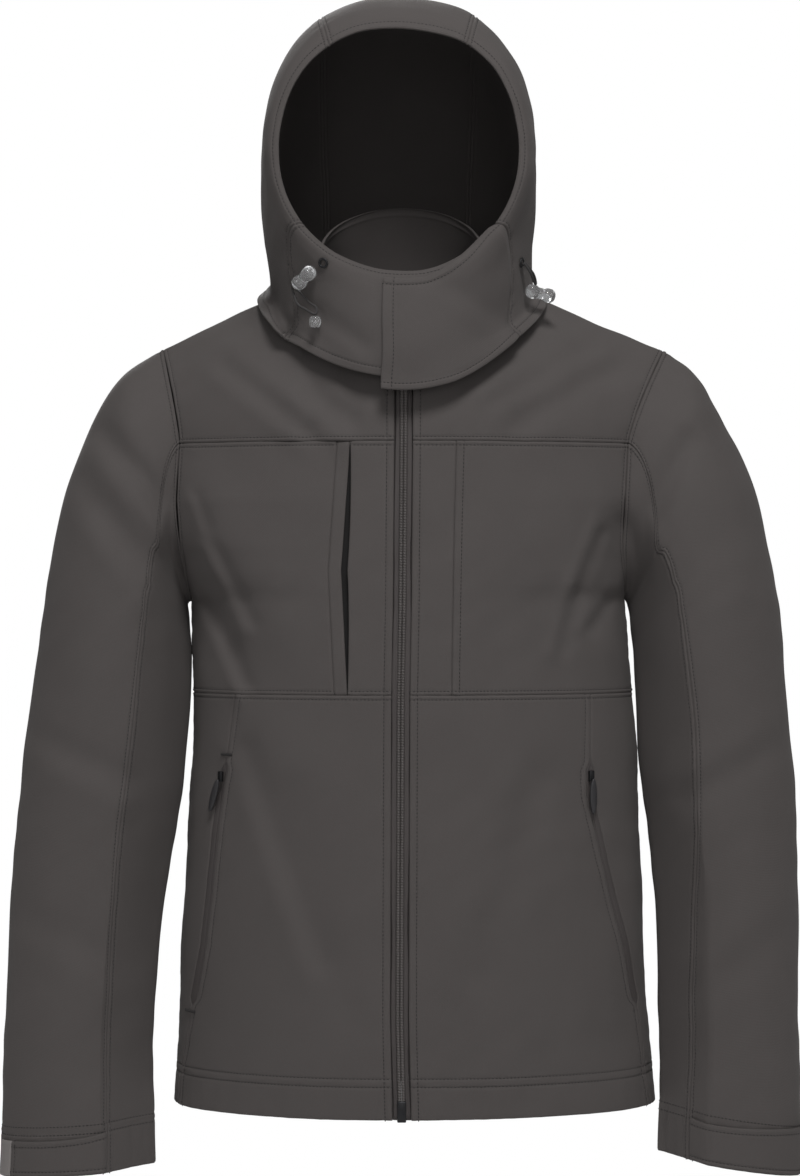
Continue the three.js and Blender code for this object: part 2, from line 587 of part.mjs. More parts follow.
// Stand collar inside the hood, open at the zip
const COLLAR_LIFT = 1.7;
const COLLAR_STEPS = 5;
const collarGap = (Math.asin((ZIP_HALF + SEAM) / NECK.halfWidth) * 180) / Math.PI;
const collarTurns = [];
for (let k = 0; k <= COLLAR_STEPS; k += 1) {
  collarTurns.push(mix(collarGap, 90, k / COLLAR_STEPS));
}
for (let k = 1; k <= COLLAR_STEPS; k += 1) {
  collarTurns.push(mix(90, 180, k / COLLAR_STEPS));
}
const collarShares = collarTurns.map((turn) => (turn - collarGap) / (360 - 2 * collarGap));
const mirrored = collarShares.slice(0, -1).reverse().map((share) => 1 - share);
addPatch("collar", "cloth", (u, v) => {
  const turned = mix(collarGap, 360 - collarGap, u);
  const fromFront = turned < 180 ? turned : 360 - turned;
  const side = turned < 180 ? "left" : "right";
  const face = fromFront < 90 ? "front" : "back";
  const base = neckPoint(side, face, rad(face === "front" ? fromFront : 180 - fromFront));
  base.z += COLLAR_LIFT;
  const opened = fromFront + 5 * v * clamp((90 - fromFront) / 85, 0, 1);
  const row = v * (COLLAR.length - 1);
  const point = loopPoint(COLLAR, turned < 180 ? opened : -opened, row, 1);
  return row >= 1 ? point : base.lerp(point, row);
}, [1, 5], { us: [...collarShares, ...mirrored], centre: () => vec(HOOD_MIDDLE, -8, 10) });

// Front zip, in the gap between the fronts
function middleDepth(z) {
  if (z <= YOKE_Z) {
    return folded(vec(atLevel(MIDDLE, "x", z), atLevel(TORSO, "front", z), z)).y;
  }
  const t = clamp((z - YOKE_Z) / (NECK.frontZ - YOKE_Z), 0, 1);
  const rise = clamp((z - NECK.frontZ) / 54, 0, 1);
  return mix(atLevel(TORSO, "front", YOKE_Z), NECK.frontY, t ** 2.2) - 2 * rise;
}
const ZIP_LEVELS = [-722, -708, -640, -550, -470, -418, -366, -325, -285, -240, -200, -150,
  -130, -112, -95, -80, -66, -48, -24];
const TAPE_DEPTH = 1.6;
const CHAIN_DEPTH = TAPE_DEPTH - 0.5 - CHAIN_WALL;
function addStrip(name, look, x0, x1, levels, depth, wall) {
  const low = levels[0];
  const high = levels[levels.length - 1];
  addPatch(name, look, (u, v) => {
    const z = mix(low, high, v);
    return vec(atLevel(MIDDLE, "x", z) + mix(x0, x1, u), middleDepth(z) + depth, z);
  }, [1, 1], {
    vs: levels.map((z) => (z - low) / (high - low)),
    wall,
    centre: (u, v) => vec(0, 0, mix(low, high, v)),
  });
}
addStrip("zip_tape_r", "tape", -ZIP_HALF, -0.2, ZIP_LEVELS, TAPE_DEPTH, TAPE_WALL);
addStrip("zip_tape_l", "tape", 0.2, ZIP_HALF, ZIP_LEVELS, TAPE_DEPTH, TAPE_WALL);
addStrip("zip_chain", "chain", -CHAIN_HALF, CHAIN_HALF, ZIP_LEVELS.slice(1, -1), CHAIN_DEPTH,
  CHAIN_WALL);

// Plain block by its middle and sizes, turned about Z
const UP = vec(0, 0, 1);
function addBlock(name, look, middle, size, turn = 0) {
  const [hx, hy, hz] = size.map((value) => value / 2);
  const corners = [];
  for (const [sx, sy, sz] of [[-1, -1, -1], [1, -1, -1], [1, 1, -1], [-1, 1, -1],
    [-1, -1, 1], [1, -1, 1], [1, 1, 1], [-1, 1, 1]]) {
    corners.push(vec(sx * hx, sy * hy, sz * hz).applyAxisAngle(UP, turn).add(middle));
  }
  addBody(name, look, corners, [[0, 2, 1], [0, 3, 2], [4, 5, 6], [4, 6, 7], [0, 1, 5], [0, 5, 4],
    [1, 2, 6], [1, 6, 5], [2, 3, 7], [2, 7, 6], [3, 0, 4], [3, 4, 7]]);
}
const ZIP_ENDS = [
  { name: "zip_box", z: -717.4, proud: 0.6, size: [7.6, 3.2, 18] },
  { name: "zip_slider", z: -40.6, proud: 0.9, size: [9, 3.4, 14] },
];
for (const { name, z, proud, size } of ZIP_ENDS) {
  addBlock(name, "metal", vec(atLevel(MIDDLE, "x", z), middleDepth(z) - proud, z), size);
}

// Hand-pocket zips: tape in the seam gap, slider at the top, oval pull hanging from it
const POCKET_SLIDER = { size: [5, 3, 9], proud: 2.0, z: { right: -437, left: -436 } };
const PULL = { wide: 7, tall: 30, wall: 2.2, proud: 2.9, drop: 2.5, turn: { right: 0.38, left: 0 } };
const PULL_CORNERS = 14;
for (const [side, sign] of Object.entries(SIDES)) {
  const tag = SHORT[side];
  const seat = (z, off) => {
    const x = atLevel(POCKET_SEAM, side, z) + off;
    return torsoPoint(side, "front", z, shareAt(side, z, x));
  };
  addPatch(`pocket_zip_${tag}`, "tape", (u, v) => {
    const z = mix(POCKET_ZIP.bottom + POCKET_ZIP.shortLow, POCKET_ZIP.top - POCKET_ZIP.shortHigh, v);
    return seat(z, sign * mix(-1, 1, u) * (POCKET_ZIP.half - POCKET_ZIP.inset[side]));
  }, [1, 12], { wall: TAPE_WALL, lift: -TAPE_BACK, centre: (u, v) => TORSO_CENTRE(-530) });
  const z = POCKET_SLIDER.z[side];
  const slope = seat(z, 1).sub(seat(z, -1));
  const facing = Math.atan2(slope.y, slope.x);
  const outward = vec(Math.sin(facing), -Math.cos(facing), 0);
  const slider = seat(z, 0).addScaledVector(outward, POCKET_SLIDER.proud);
  addBlock(`pocket_slider_${tag}`, "metal", slider, POCKET_SLIDER.size, facing);
  const pull = slider.clone().addScaledVector(outward, PULL.proud).add(vec(0, 0, -PULL.drop));
  const steps = PULL_CORNERS;
  const corners = [];
  for (const y of [-PULL.wall / 2, PULL.wall / 2]) {
    for (let k = 0; k < steps; k += 1) {
      const angle = (2 * Math.PI * k) / steps;
      const drop = ((Math.cos(angle) - 1) * PULL.tall) / 2;
      const corner = vec((Math.sin(angle) * PULL.wide) / 2, y, drop);
      corner.applyAxisAngle(vec(0, 1, 0), PULL.turn[side]).applyAxisAngle(UP, facing);
      corners.push(corner.add(pull));
    }
  }
  const triangles = [];
  for (let k = 0; k < steps; k += 1) {
    const next = (k + 1) % steps;
    triangles.push([k, next, steps + next], [k, steps + next, steps + k]);
    if (k > 0 && k < steps - 1) {
      triangles.push([0, k + 1, k], [steps, steps + k, steps + k + 1]);
    }
  }
  addBody(`pocket_pull_${tag}`, "pull", corners, triangles);
}

// Hood hardware: eyelets, clear cord locks with a cord end, and the draw cord between them
const CORD_RADIUS = 1.0;
const LOCK_PROFILE = [
  [-13, 4.2], [-11, 6], [-5, 6.2], [-3, 5], [3, 5], [5, 6.2], [11, 6], [13, 4.2],
];
const BEAD_PROFILE = [[-4.8, 3.6], [-3, 5], [3, 5], [4.8, 3.6]];
const EYELET = { outer: 4.6, inner: 2.4, tall: 1 };
const AROUND = 12;

// Outward direction of the hood, and a point held off its surface
function hoodOut(degrees, row) {
  const du = hoodPoint(degrees + 1, row).sub(hoodPoint(degrees - 1, row));
  const dv = hoodPoint(degrees, row + 0.05).sub(hoodPoint(degrees, row - 0.05));
  const out = du.cross(dv).normalize();
  return out.dot(hoodPoint(degrees, row).sub(hoodCentre())) > 0 ? out : out.negate();
}
const overHood = (degrees, row, height) =>
  hoodPoint(degrees, row).addScaledVector(hoodOut(degrees, row), height);

// Two directions square to an axis
function squareTo(axis) {
  const first = axis.clone().cross(Math.abs(axis.z) < 0.9 ? UP : vec(1, 0, 0)).normalize();
  return [first, axis.clone().cross(first).normalize()];
}

// Joins rings of corners into a tube; closed ends unless the rings come back on themselves
function addRings(name, look, rings, looped) {
  const corners = rings.flat();
  const sides = rings[0].length;
  const triangles = [];
  const rows = looped ? rings.length : rings.length - 1;
  for (let i = 0; i < rows; i += 1) {
    const low = i * sides;
    const high = ((i + 1) % rings.length) * sides;
    for (let k = 0; k < sides; k += 1) {
      const next = (k + 1) % sides;
      triangles.push([low + k, low + next, high + next], [low + k, high + next, high + k]);
    }
  }
  if (!looped) {
    const end = (rings.length - 1) * sides;
    for (let k = 1; k < sides - 1; k += 1) {
      triangles.push([0, k + 1, k], [end, end + k, end + k + 1]);
    }
  }
  addBody(name, look, corners, triangles);
}

const ringAt = (middle, [first, second], radius, sides) => Array.from({ length: sides }, (_, k) => {
  const angle = (2 * Math.PI * k) / sides;
  return middle.clone().addScaledVector(first, radius * Math.cos(angle))
    .addScaledVector(second, radius * Math.sin(angle));
});

function addTurned(name, look, middle, axis, profile) {
  const square = squareTo(axis);
  addRings(name, look, profile.map(([along, radius]) =>
    ringAt(middle.clone().addScaledVector(axis, along), square, radius, AROUND)), false);
}

function addEyelet(name, degrees, row) {
  const out = hoodOut(degrees, row);
  const square = squareTo(out);
  const ring = (radius, height) => ringAt(overHood(degrees, row, height), square, radius, AROUND);
  const low = 0.5;
  const high = low + EYELET.tall;
  addRings(name, "metal", [ring(EYELET.inner, low), ring(EYELET.outer, low),
    ring(EYELET.outer, high), ring(EYELET.inner, high)], true);
}

function addCord(name, points) {
  const curve = new THREE.CatmullRomCurve3(points);
  const count = 18;
  const frames = curve.computeFrenetFrames(count, false);
  const rings = Array.from({ length: count + 1 }, (_, k) =>
    ringAt(curve.getPointAt(k / count), [frames.normals[k], frames.binormals[k]], CORD_RADIUS, 6));
  addRings(name, "cord", rings, false);
}

addEyelet("eyelet_r", -34, 2.0);
addEyelet("eyelet_l", 60.4, 4.05);

// Right side: the lock hangs slanting, the cord loops down to its end
const lockTop = overHood(-36.5, 2.5, 7.2);
const lockFoot = overHood(-46, 4.05, 7.2);
const lockAxis = lockFoot.clone().sub(lockTop).normalize();
addTurned("cord_lock_r", "clear", lockTop.clone().lerp(lockFoot, 0.5), lockAxis, LOCK_PROFILE);
const beadMiddle = overHood(-37, 5.35, 7.5);
addTurned("cord_end_r", "clear", beadMiddle, UP.clone(), BEAD_PROFILE);
const lockEnd = lockTop.clone().lerp(lockFoot, 0.5).addScaledVector(lockAxis, 16.4);
const loopFoot = beadMiddle.clone().add(vec(0, 0, 6.6));
const across = vec(1, 0, 0);
addCord("hood_cord_r", [
  lockEnd.clone().addScaledVector(across, -1.6),
  lockEnd.clone().lerp(loopFoot, 0.45).addScaledVector(across, -5.5).add(vec(0, 0, -3)),
  lockEnd.clone().lerp(loopFoot, 0.8).addScaledVector(across, -5.0),
  loopFoot,
  lockEnd.clone().lerp(loopFoot, 0.75).addScaledVector(across, 5.5),
  lockEnd.clone().lerp(loopFoot, 0.4).addScaledVector(across, 5.5).add(vec(0, 0, -3)),
  lockEnd.clone().addScaledVector(across, 1.8),
]);

// Left side: the lock lies across and stands out past the edge of the hood
const sideLock = overHood(66, 5.4, 14.0);
const sideAxis = vec(0.9, 0.38, -0.2).normalize();
addTurned("cord_lock_l", "clear", sideLock, sideAxis, LOCK_PROFILE);
const holeOut = hoodOut(60.4, 4.05);
const hole = overHood(60.4, 4.05, 2.7);
const lockSide = sideLock.clone().add(vec(0, 0, 8.1)).addScaledVector(sideAxis, -5);
const apart = holeOut.clone().cross(UP).normalize();
addCord("hood_cord_l", [
  hole.clone().addScaledVector(apart, -1.5),
  hole.clone().lerp(lockSide, 0.5).addScaledVector(apart, -3.4).addScaledVector(holeOut, 2),
  lockSide.clone().addScaledVector(apart, -2.2),
  lockSide.clone().addScaledVector(apart, 2.2),
  hole.clone().lerp(lockSide, 0.5).addScaledVector(apart, 3.4).addScaledVector(holeOut, 2),
  hole.clone().addScaledVector(apart, 1.5),
]);

export default jacket;
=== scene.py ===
"""Hooded softshell jacket: the finished look, built over the CAD frame."""

from __future__ import annotations

import logging
import math
from dataclasses import dataclass, field, replace
from enum import Enum
from typing import Callable, Sequence

import bmesh
import bpy
import numpy as np
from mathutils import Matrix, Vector


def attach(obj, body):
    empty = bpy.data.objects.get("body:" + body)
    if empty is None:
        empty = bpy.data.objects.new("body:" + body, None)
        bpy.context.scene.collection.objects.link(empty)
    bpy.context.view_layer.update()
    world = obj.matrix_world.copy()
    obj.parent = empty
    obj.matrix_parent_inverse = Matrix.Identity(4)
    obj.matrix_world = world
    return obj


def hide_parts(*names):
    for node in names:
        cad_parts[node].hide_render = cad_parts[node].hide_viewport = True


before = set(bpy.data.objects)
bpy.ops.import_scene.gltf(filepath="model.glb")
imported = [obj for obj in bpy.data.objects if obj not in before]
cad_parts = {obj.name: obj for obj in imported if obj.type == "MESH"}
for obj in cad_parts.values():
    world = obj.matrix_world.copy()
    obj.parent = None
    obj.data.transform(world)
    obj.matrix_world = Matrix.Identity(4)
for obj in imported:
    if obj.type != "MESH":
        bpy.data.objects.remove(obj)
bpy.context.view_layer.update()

log = logging.getLogger("jacket")
Array = np.ndarray
Rows = Sequence[tuple[float, ...]]
Triple = tuple[float, float, float]
Line = Callable[[Array], Array]
Surface = Callable[[Array, Array], Array]
Lines = dict[int, tuple[float, ...]]
Material, Piece = bpy.types.Material, bpy.types.Object
MM = 0.001

# creases: x and z of the start and of the end, width, depth and height of the ridge beside it, in mm
FRONT_FOLDS: Rows = (
    (-258, -140, -205, -198, 13, 7, 2), (-275, -183, -222, -250, 15, 5, 2),
    (250, -150, 218, -205, 15, 6, 2), (-185, -250, -150, -330, 18, 6), (192, -225, 176, -300, 17, 6),
    (-160, -205, -110, -300, 30, -4), (-157, -242, -127, -304, 6, 3.4, 3.2),
    (-168, -282, -132, -356, 7, 4.2, 3.4), (-174, -197, -165, -223, 5, 2, 1.5),
    (174, -227, 153, -280, 6, 3.4, 3), (153, -280, 140, -328, 6, 3, 2.8), (183, -285, 164, -311, 6, 3.4, 3),
    (-130, -415, -66, -590, 12, 3, 2), (-96, -450, -40, -640, 16, 2), (120, -440, 70, -600, 18, 2.6, 1.4),
    (-125, -62, -45, -132, 11, 4.5, 2.4), (-150, -84, -80, -140, 9, 3, 1.8),
    (200, -76, 102, -132, 12, 4.2, 2.2), (165, -66, 80, -118, 9, 3, 1.8),
    (-330, -395, -235, -440, 14, 3, 1.5), (340, -405, 250, -455, 14, 3, 1.5),
    (-320, -560, -240, -600, 16, 2.2, 1), (335, -570, 255, -625, 16, 2.2, 1),
)
BACK_FOLDS: Rows = (
    (-258, -150, -205, -215, 15, 6, 2), (262, -150, 212, -215, 15, 6, 2),
    (-180, -235, -105, -320, 14, 4, 2), (182, -240, 110, -330, 14, 4, 2),
    (-150, -100, -60, -150, 18, 3, 1.2), (160, -100, 70, -150, 18, 3, 1.2),
    (-150, -420, -60, -560, 26, 3, 1.2), (150, -400, 80, -600, 26, 3, 1.2),
    (-330, -395, -235, -440, 14, 3.5, 1.5), (340, -405, 250, -455, 14, 3.5, 1.5),
)
HOOD_FOLDS: Rows = (
    (-112, 2, -96, -58, 7, 8, 4.5), (-124, -28, -98, -50, 6, 6, 3.5), (-98, 24, -110, -26, 6, 5, 3),
    (-70, -40, -30, -70, 8, 1.6, 1), (45, -22, 90, -48, 9, 1.4, 0.9),
)


class Side(Enum):
    """The wearer's side."""

    RIGHT = -1
    LEFT = 1

    @property
    def tag(self) -> str:
        """Short name used at the end of a node's name."""
        return "r" if self is Side.RIGHT else "l"

    @property
    def column(self) -> int:
        """Column of this side in a table of level, right and left."""
        return 1 if self is Side.RIGHT else 2


class Face(Enum):
    """Front or back of the torso."""

    FRONT = "front"
    BACK = "back"


class Edge(Enum):
    """How the cloth ends at an edge of a panel."""

    PLAIN = "plain"
    SEAM = "seam"
    TOPSTITCHED = "topstitched"
    HEM = "hem"
    FREE = "free"

    @property
    def close(self) -> bool:
        """Whether the grid runs close together beside it."""
        return self in (Edge.SEAM, Edge.TOPSTITCHED, Edge.FREE)


Sewn = tuple[Edge, Edge, Edge, Edge]


def mix(a: Array | float, b: Array | float, t: Array | float) -> Array:
    """Straight blend."""
    return a + (b - a) * t


def level(rows: Rows, column: int, z: Array | float) -> Array:
    """Value of one column at a height, straight between rows."""
    table = np.asarray(rows, dtype=float)
    return np.interp(z, table[:, 0], table[:, column])


def curve(knots: Sequence[Array], t: Array) -> Array:
    """Point on the smooth curve through four knots, between the second and the third.

    Args:
        knots: the four knots.
        t: way from the second (0) to the third (1).
    Returns:
        The point or value there.
    """
    a, b, c, d = knots
    bend = (2 * a - 5 * b + 4 * c - d) * t**2 + (3 * b - a - 3 * c + d) * t**3
    return b + 0.5 * ((c - a) * t + bend)


def smooth_row(rows: Rows, column: int, row: Array | float) -> Array:
    """Value of one column at a row number, on a smooth curve through the rows.

    Args:
        rows: table without a height column.
        column: index of the column.
        row: row number, fractions allowed.
    Returns:
        The value there.
    """
    values = np.asarray(rows, dtype=float)[:, column]
    row = np.asarray(row, dtype=float)
    i = np.clip(np.floor(row), 0, len(values) - 2).astype(int)
    knots = [values[np.clip(i + k, 0, len(values) - 1)] for k in (-1, 0, 1, 2)]
    return curve(knots, np.clip(row - i, 0.0, 1.0))


def stack(x: Array, y: Array, z: Array) -> Array:
    """Points from their coordinates."""
    return np.stack(np.broadcast_arrays(x, y, z), axis=-1).astype(float)


@dataclass(frozen=True)
class Fold:
    """A crease in the cloth, between two points of the front or back view, in mm."""

    start: tuple[float, float]
    end: tuple[float, float]
    width: float
    depth: float
    ridge: float = 0.0

    def depth_at(self, x: Array, z: Array) -> Array:
        """How far the crease pushes the cloth in.

        Args:
            x: x of the points, mm.
            z: z of the points, mm.
        Returns:
            Depth at each point, mm.
        """
        along = np.array(self.end) - np.array(self.start)
        reach = float(along @ along)
        t = np.clip(((x - self.start[0]) * along[0] + (z - self.start[1]) * along[1]) / reach, 0, 1)
        dx = x - self.start[0] - t * along[0]
        dz = z - self.start[1] - t * along[1]
        away = np.hypot(dx, dz) / self.width
        side = (dx * along[1] - dz * along[0]) / math.sqrt(reach) / self.width
        push = self.depth * np.exp(-(away**2))
        if self.ridge:
            fade = np.exp(-(np.maximum(away - np.abs(side), 0.0) ** 2))
            push = push - self.ridge * np.exp(-((side - 1.5) ** 2)) * fade
        return push


def folds(rows: Rows) -> tuple[Fold, ...]:
    """Creases of a table."""
    return tuple(Fold(row[:2], row[2:4], *row[4:]) for row in rows)


def pushed(creases: Sequence[Fold], x: Array, z: Array) -> Array:
    """How far all creases together push the cloth in, mm."""
    return sum((crease.depth_at(x, z) for crease in creases), np.zeros_like(x))


@dataclass
class JacketForm:
    """The jacket's surfaces in mm, front towards -Y, as rings and sections."""

    seam: float = 0.4
    # how far the sleeve's front falls in between its seam and the body
    sleeve_hollow: float = 58.0
    armhole_gap: float = 0.15
    zip_half: float = 7.6
    yoke_z: float = -150.0
    waist_z: float = -366.0
    underarm_z: float = -285.0
    neck_column: float = 5 / 12
    hood_middle: float = 2.0
    # sideways lean of the hood's upper part, and the heights between which it starts
    hood_lean: Triple = (-3.0, -15.0, 25.0)
    # level, right edge, left edge, front depth, back depth
    torso_rows: Rows = (
        (-725, -197.0, 224.0, -121, 116), (-640, -194.0, 216.0, -124, 115),
        (-550, -190.5, 212.5, -124, 112), (-470, -186.0, 209.8, -122, 109),
        (-418, -183.0, 208.0, -121, 109), (-366, -181.5, 204.5, -120, 111),
        (-325, -182.0, 201.5, -120, 115), (-285, -182.5, 197.5, -119, 119),
        (-262, -187.0, 194.8, -118, 120), (-240, -191.0, 193.5, -117, 121),
        (-200, -193.5, 194.0, -115, 121), (-150, -190.5, 197.0, -111, 119),
    )
    # level, front edge, back edge, bend in degrees
    armhole_rows: Rows = (
        (-725, 0, 0, 90), (-285, 0, 0, 90), (-272, -24, 26, 84), (-262, -36, 40, 79),
        (-240, -48, 58, 71), (-200, -55, 68, 62), (-150, -50, 64, 55),
    )
    # level, x of the zip's middle line
    middle_rows: Rows = ((-725, 1.6), (-640, -0.4), (-366, 0.6), (-285, 2.0), (-100, 3.4), (0, 3.4))
    # level, right seam, left seam
    pocket_rows: Rows = (
        (-725, -191.5, 217.5), (-690, -189.0, 212.0), (-640, -182.0, 206.0), (-584, -170.0, 194.6),
        (-526, -163.5, 180.6), (-452, -155.6, 163.0), (-405, -147.0, 162.8), (-366, -141.0, 164.0),
    )
    # level, share of the pocket opening's half width
    slot_rows: Rows = ((-637, 0.0), (-631, 1.0), (-431, 1.0), (-423, 0.0))
    slot_half: float = 3.0
    chest_rows: Rows = ((-366, -45.0, 44.0), (-260, -50.0, 45.5), (-150, -42.5, 48.0))
    tips: dict[Side, Triple] = field(
        default_factory=lambda: {Side.RIGHT: (-209, 2, -64), Side.LEFT: (232, 2, -66)}
    )
    # half width, point y, point z, front y, front z, back y, back z
    neck: tuple[float, ...] = (84, -10, -6, -98, -74, 78, 2)
    # ring: outer x, outer z, inner x, inner z
    sleeves: dict[Side, Rows] = field(default_factory=lambda: {
        Side.RIGHT: (
            (-243, -88, -187.5, -289), (-270, -128, -187, -298), (-291, -180, -185.5, -312),
            (-302.5, -233, -184, -330), (-313, -292, -183.2, -355), (-323.5, -365, -184.8, -395),
            (-330.5, -426, -189.2, -440), (-336.5, -485, -196.2, -490), (-340.5, -550, -206, -550),
            (-343.5, -612, -213.5, -612), (-346.5, -680, -216, -678), (-348, -740, -215.5, -734),
            (-349.5, -786, -214, -777),
        ),
        Side.LEFT: (
            (262, -90, 200, -289), (286, -132, 201.5, -298), (308, -180, 202.5, -312),
            (322, -233, 203.8, -330), (332, -292, 205.4, -355), (339, -365, 208.2, -395),
            (345, -426, 211.4, -440), (348, -485, 217.5, -490), (349, -550, 224, -550),
            (349, -612, 225.5, -612), (349, -680, 227.5, -678), (349.5, -740, 226.5, -734),
            (349.5, -786, 225.5, -766),
        ),
    })
    # ring: depth of its centre, half depth
    sleeve_depths: Rows = (
        (3, 66), (2, 68), (0, 68), (-2, 67), (-4, 65), (-6, 62), (-8, 60), (-10, 57), (-12, 54), (-15, 51),
        (-18, 48), (-21, 45), (-23, 43),
    )
    # where the front sleeve seam runs, in degrees from the outer side, ring by ring
    sleeve_seams: dict[Side, tuple[float, ...]] = field(default_factory=lambda: {
        Side.RIGHT: (175, 163, 128, 114, 112.5, 111.8, 111, 110.8, 110.8, 113.5, 115.8, 116.5, 115.5, 114.5),
        Side.LEFT: (184, 172, 128, 111, 110.2, 109.5, 108.2, 110, 113.8, 121.5, 123.5, 126, 126.8, 126.2),
    })
    # front y, front z, back y, back z, half width, lift of the sides
    hood_rows: Rows = (
        (-112, -6, -95, 203, 103, 0), (-119, -12, -78, 223, 111.5, 0), (-122, -22, -30, 238, 117.5, 0),
        (-124, -36, 45, 226, 119.5, 0), (-126, -50, 103, 166, 119.5, 2), (-127, -63, 127, 96, 117, 6),
        (-127, -76, 117, 30, 116, 14), (-126, -88, 106, -2, 121, 28), (-125, -97, 101, -18, 127, 35.6),
        (-125, -108, 100, -22, 128, 44),
    )
    collar_rows: Rows = (
        (-97, -73, 77, 2, 84, 32), (-98, -56, 73, 20, 81, 20),
        (-99, -38, 68, 40, 76, 9), (-100, -20, 62, 66, 71, 0),
    )
    front_folds: Sequence[Fold] = folds(FRONT_FOLDS)
    back_folds: Sequence[Fold] = folds(BACK_FOLDS)
    hood_folds: Sequence[Fold] = folds(HOOD_FOLDS)
    # depth from the middle at which a crease has its full effect
    fold_fade: float = 30.0
    axis_x: float = 6.0

    def axis(self, z: Array) -> Array:
        """Middle of the body at a level."""
        return stack(self.axis_x, 0.0, z)

    def folded(self, points: Array) -> Array:
        """Pushes front and back points in by the creases.

        Args:
            points: surface points.
        Returns:
            The same points, moved along Y.
        """
        x, y, z = points[..., 0], points[..., 1], points[..., 2]
        moved = points.copy()
        moved[..., 1] += pushed(self.front_folds, x, z) * np.clip(-y / self.fold_fade, 0, 1)
        moved[..., 1] -= pushed(self.back_folds, x, z) * np.clip(y / self.fold_fade, 0, 1)
        return moved

    def torso(self, side: Side, face: Face, z: Array, share: Array) -> Array:
        """Torso point below the yoke line.

        Args:
            side: wearer's side.
            face: front or back.
            z: level.
            share: way from the middle (0) to the edge (1).
        Returns:
            Points in mm.
        """
        middle = level(self.middle_rows, 1, z)
        bend = np.radians(level(self.armhole_rows, 3, z))
        across = np.sin(share * bend) / np.sin(bend)
        around = (1 - np.cos(share * bend)) / (1 - np.cos(bend))
        edge = level(self.torso_rows, side.column, z)
        deep = level(self.torso_rows, 3 if face is Face.FRONT else 4, z)
        edge_deep = level(self.armhole_rows, 1 if face is Face.FRONT else 2, z)
        return self.folded(stack(mix(middle, edge, across), mix(deep, edge_deep, around), z))

    def share_at(self, side: Side, z: Array, x: Array) -> Array:
        """Share of the way to the edge at which a level reaches x.

        Args:
            side: wearer's side.
            z: level.
            x: x wanted, mm.
        Returns:
            The share.
        """
        middle = level(self.middle_rows, 1, z)
        bend = np.radians(level(self.armhole_rows, 3, z))
        edge = level(self.torso_rows, side.column, z)
        across = (x - middle) / (edge - middle)
        return np.arcsin(np.clip(across * np.sin(bend), -1, 1)) / bend

    def neckline(self, side: Side, face: Face, turn: Array) -> Array:
        """Neckline point.

        Args:
            side: wearer's side.
            face: front or back.
            turn: radians from the middle to the shoulder.
        Returns:
            Points in mm.
        """
        half, point_y, point_z, front_y, front_z, back_y, back_z = self.neck
        far_y, far_z = (front_y, front_z) if face is Face.FRONT else (back_y, back_z)
        x = level(self.middle_rows, 1, 0.0) + side.value * half * np.sin(turn)
        return stack(x, mix(point_y, far_y, np.cos(turn)), mix(point_z, far_z, np.cos(turn)))

    def yoke(self, side: Side, face: Face, t: Array, across: Array, start: float) -> Array:
        """Torso point above the yoke line.

        Args:
            side: wearer's side.
            face: front or back.
            t: way from the yoke line (0) to neckline and shoulder seam (1).
            across: way from the first column (0) to the armhole (1).
            start: share at which the first column starts on the yoke line.
        Returns:
            Points in mm.
        """
        t, across = np.broadcast_arrays(np.asarray(t, float), np.asarray(across, float))
        low = self.torso(side, face, np.full_like(t, self.yoke_z), mix(start, 1, across))
        first = math.asin((self.zip_half + self.seam) / self.neck[0]) if start > 0 else 0.0
        near = np.clip(across / self.neck_column, 0, 1)
        line = self.neckline(side, face, mix(first, math.pi / 2, near))
        point = self.neckline(side, face, np.full_like(t, math.pi / 2))
        far = np.clip((across - self.neck_column) / (1 - self.neck_column), 0, 1)[..., None]
        shoulder = mix(point, np.array(self.tips[side], float), far)
        top = np.where((across < self.neck_column)[..., None], line, shoulder)
        x = mix(low[..., 0], top[..., 0], t**1.3)
        y = mix(low[..., 1], top[..., 1], t**2.2)
        return self.folded(stack(x, y, mix(self.yoke_z, top[..., 2], t)))

    def armhole(self, side: Side, face: Face, z: Array) -> Array:
        """Armhole edge of the torso.

        Args:
            side: wearer's side.
            face: front or back.
            z: height between underarm and shoulder tip.
        Returns:
            Points in mm.
        """
        t = np.clip((z - self.yoke_z) / (self.tips[side][2] - self.yoke_z), 0, 1)
        high = self.yoke(side, face, t, np.ones_like(t), 0.0)
        low = self.torso(side, face, np.minimum(z, self.yoke_z), np.ones_like(z))
        return np.where((z > self.yoke_z)[..., None], high, low)

    def sleeve_table(self, side: Side) -> Array:
        """Rings of a sleeve: outer x and z, inner x and z, depth and half depth."""
        return np.hstack([self.sleeves[side], self.sleeve_depths])

    def sleeve(self, side: Side, edge: Array, near: Array, spread: Array, ring: Array) -> Array:
        """Sleeve point; ring 0 lies on the armhole.

        Args:
            side: wearer's side.
            edge: armhole points of the columns, shape (columns, 3).
            near: angle of each column at the armhole, degrees.
            spread: share of each column across the piece, 0 to 1.
            ring: ring numbers, of the rows or of every point.
        Returns:
            Points in mm, shape (columns, rows, 3).
        """
        table = self.sleeve_table(side)
        ring = np.broadcast_to(ring, (len(near), np.shape(ring)[-1]))
        upper = near[0] - near[-1] > 0
        seam = smooth_row([(angle,) for angle in self.sleeve_seams[side]], 0, ring)
        even = mix(seam, -seam if upper else 360 - seam, spread[:, None])
        angle = np.radians(mix(near[:, None], even, np.clip(ring / 3, 0, 1)))
        start = edge.copy()
        start[:, 0] += side.value * self.armhole_gap
        i = np.clip(np.floor(ring), 0, len(table) - 1).astype(int)

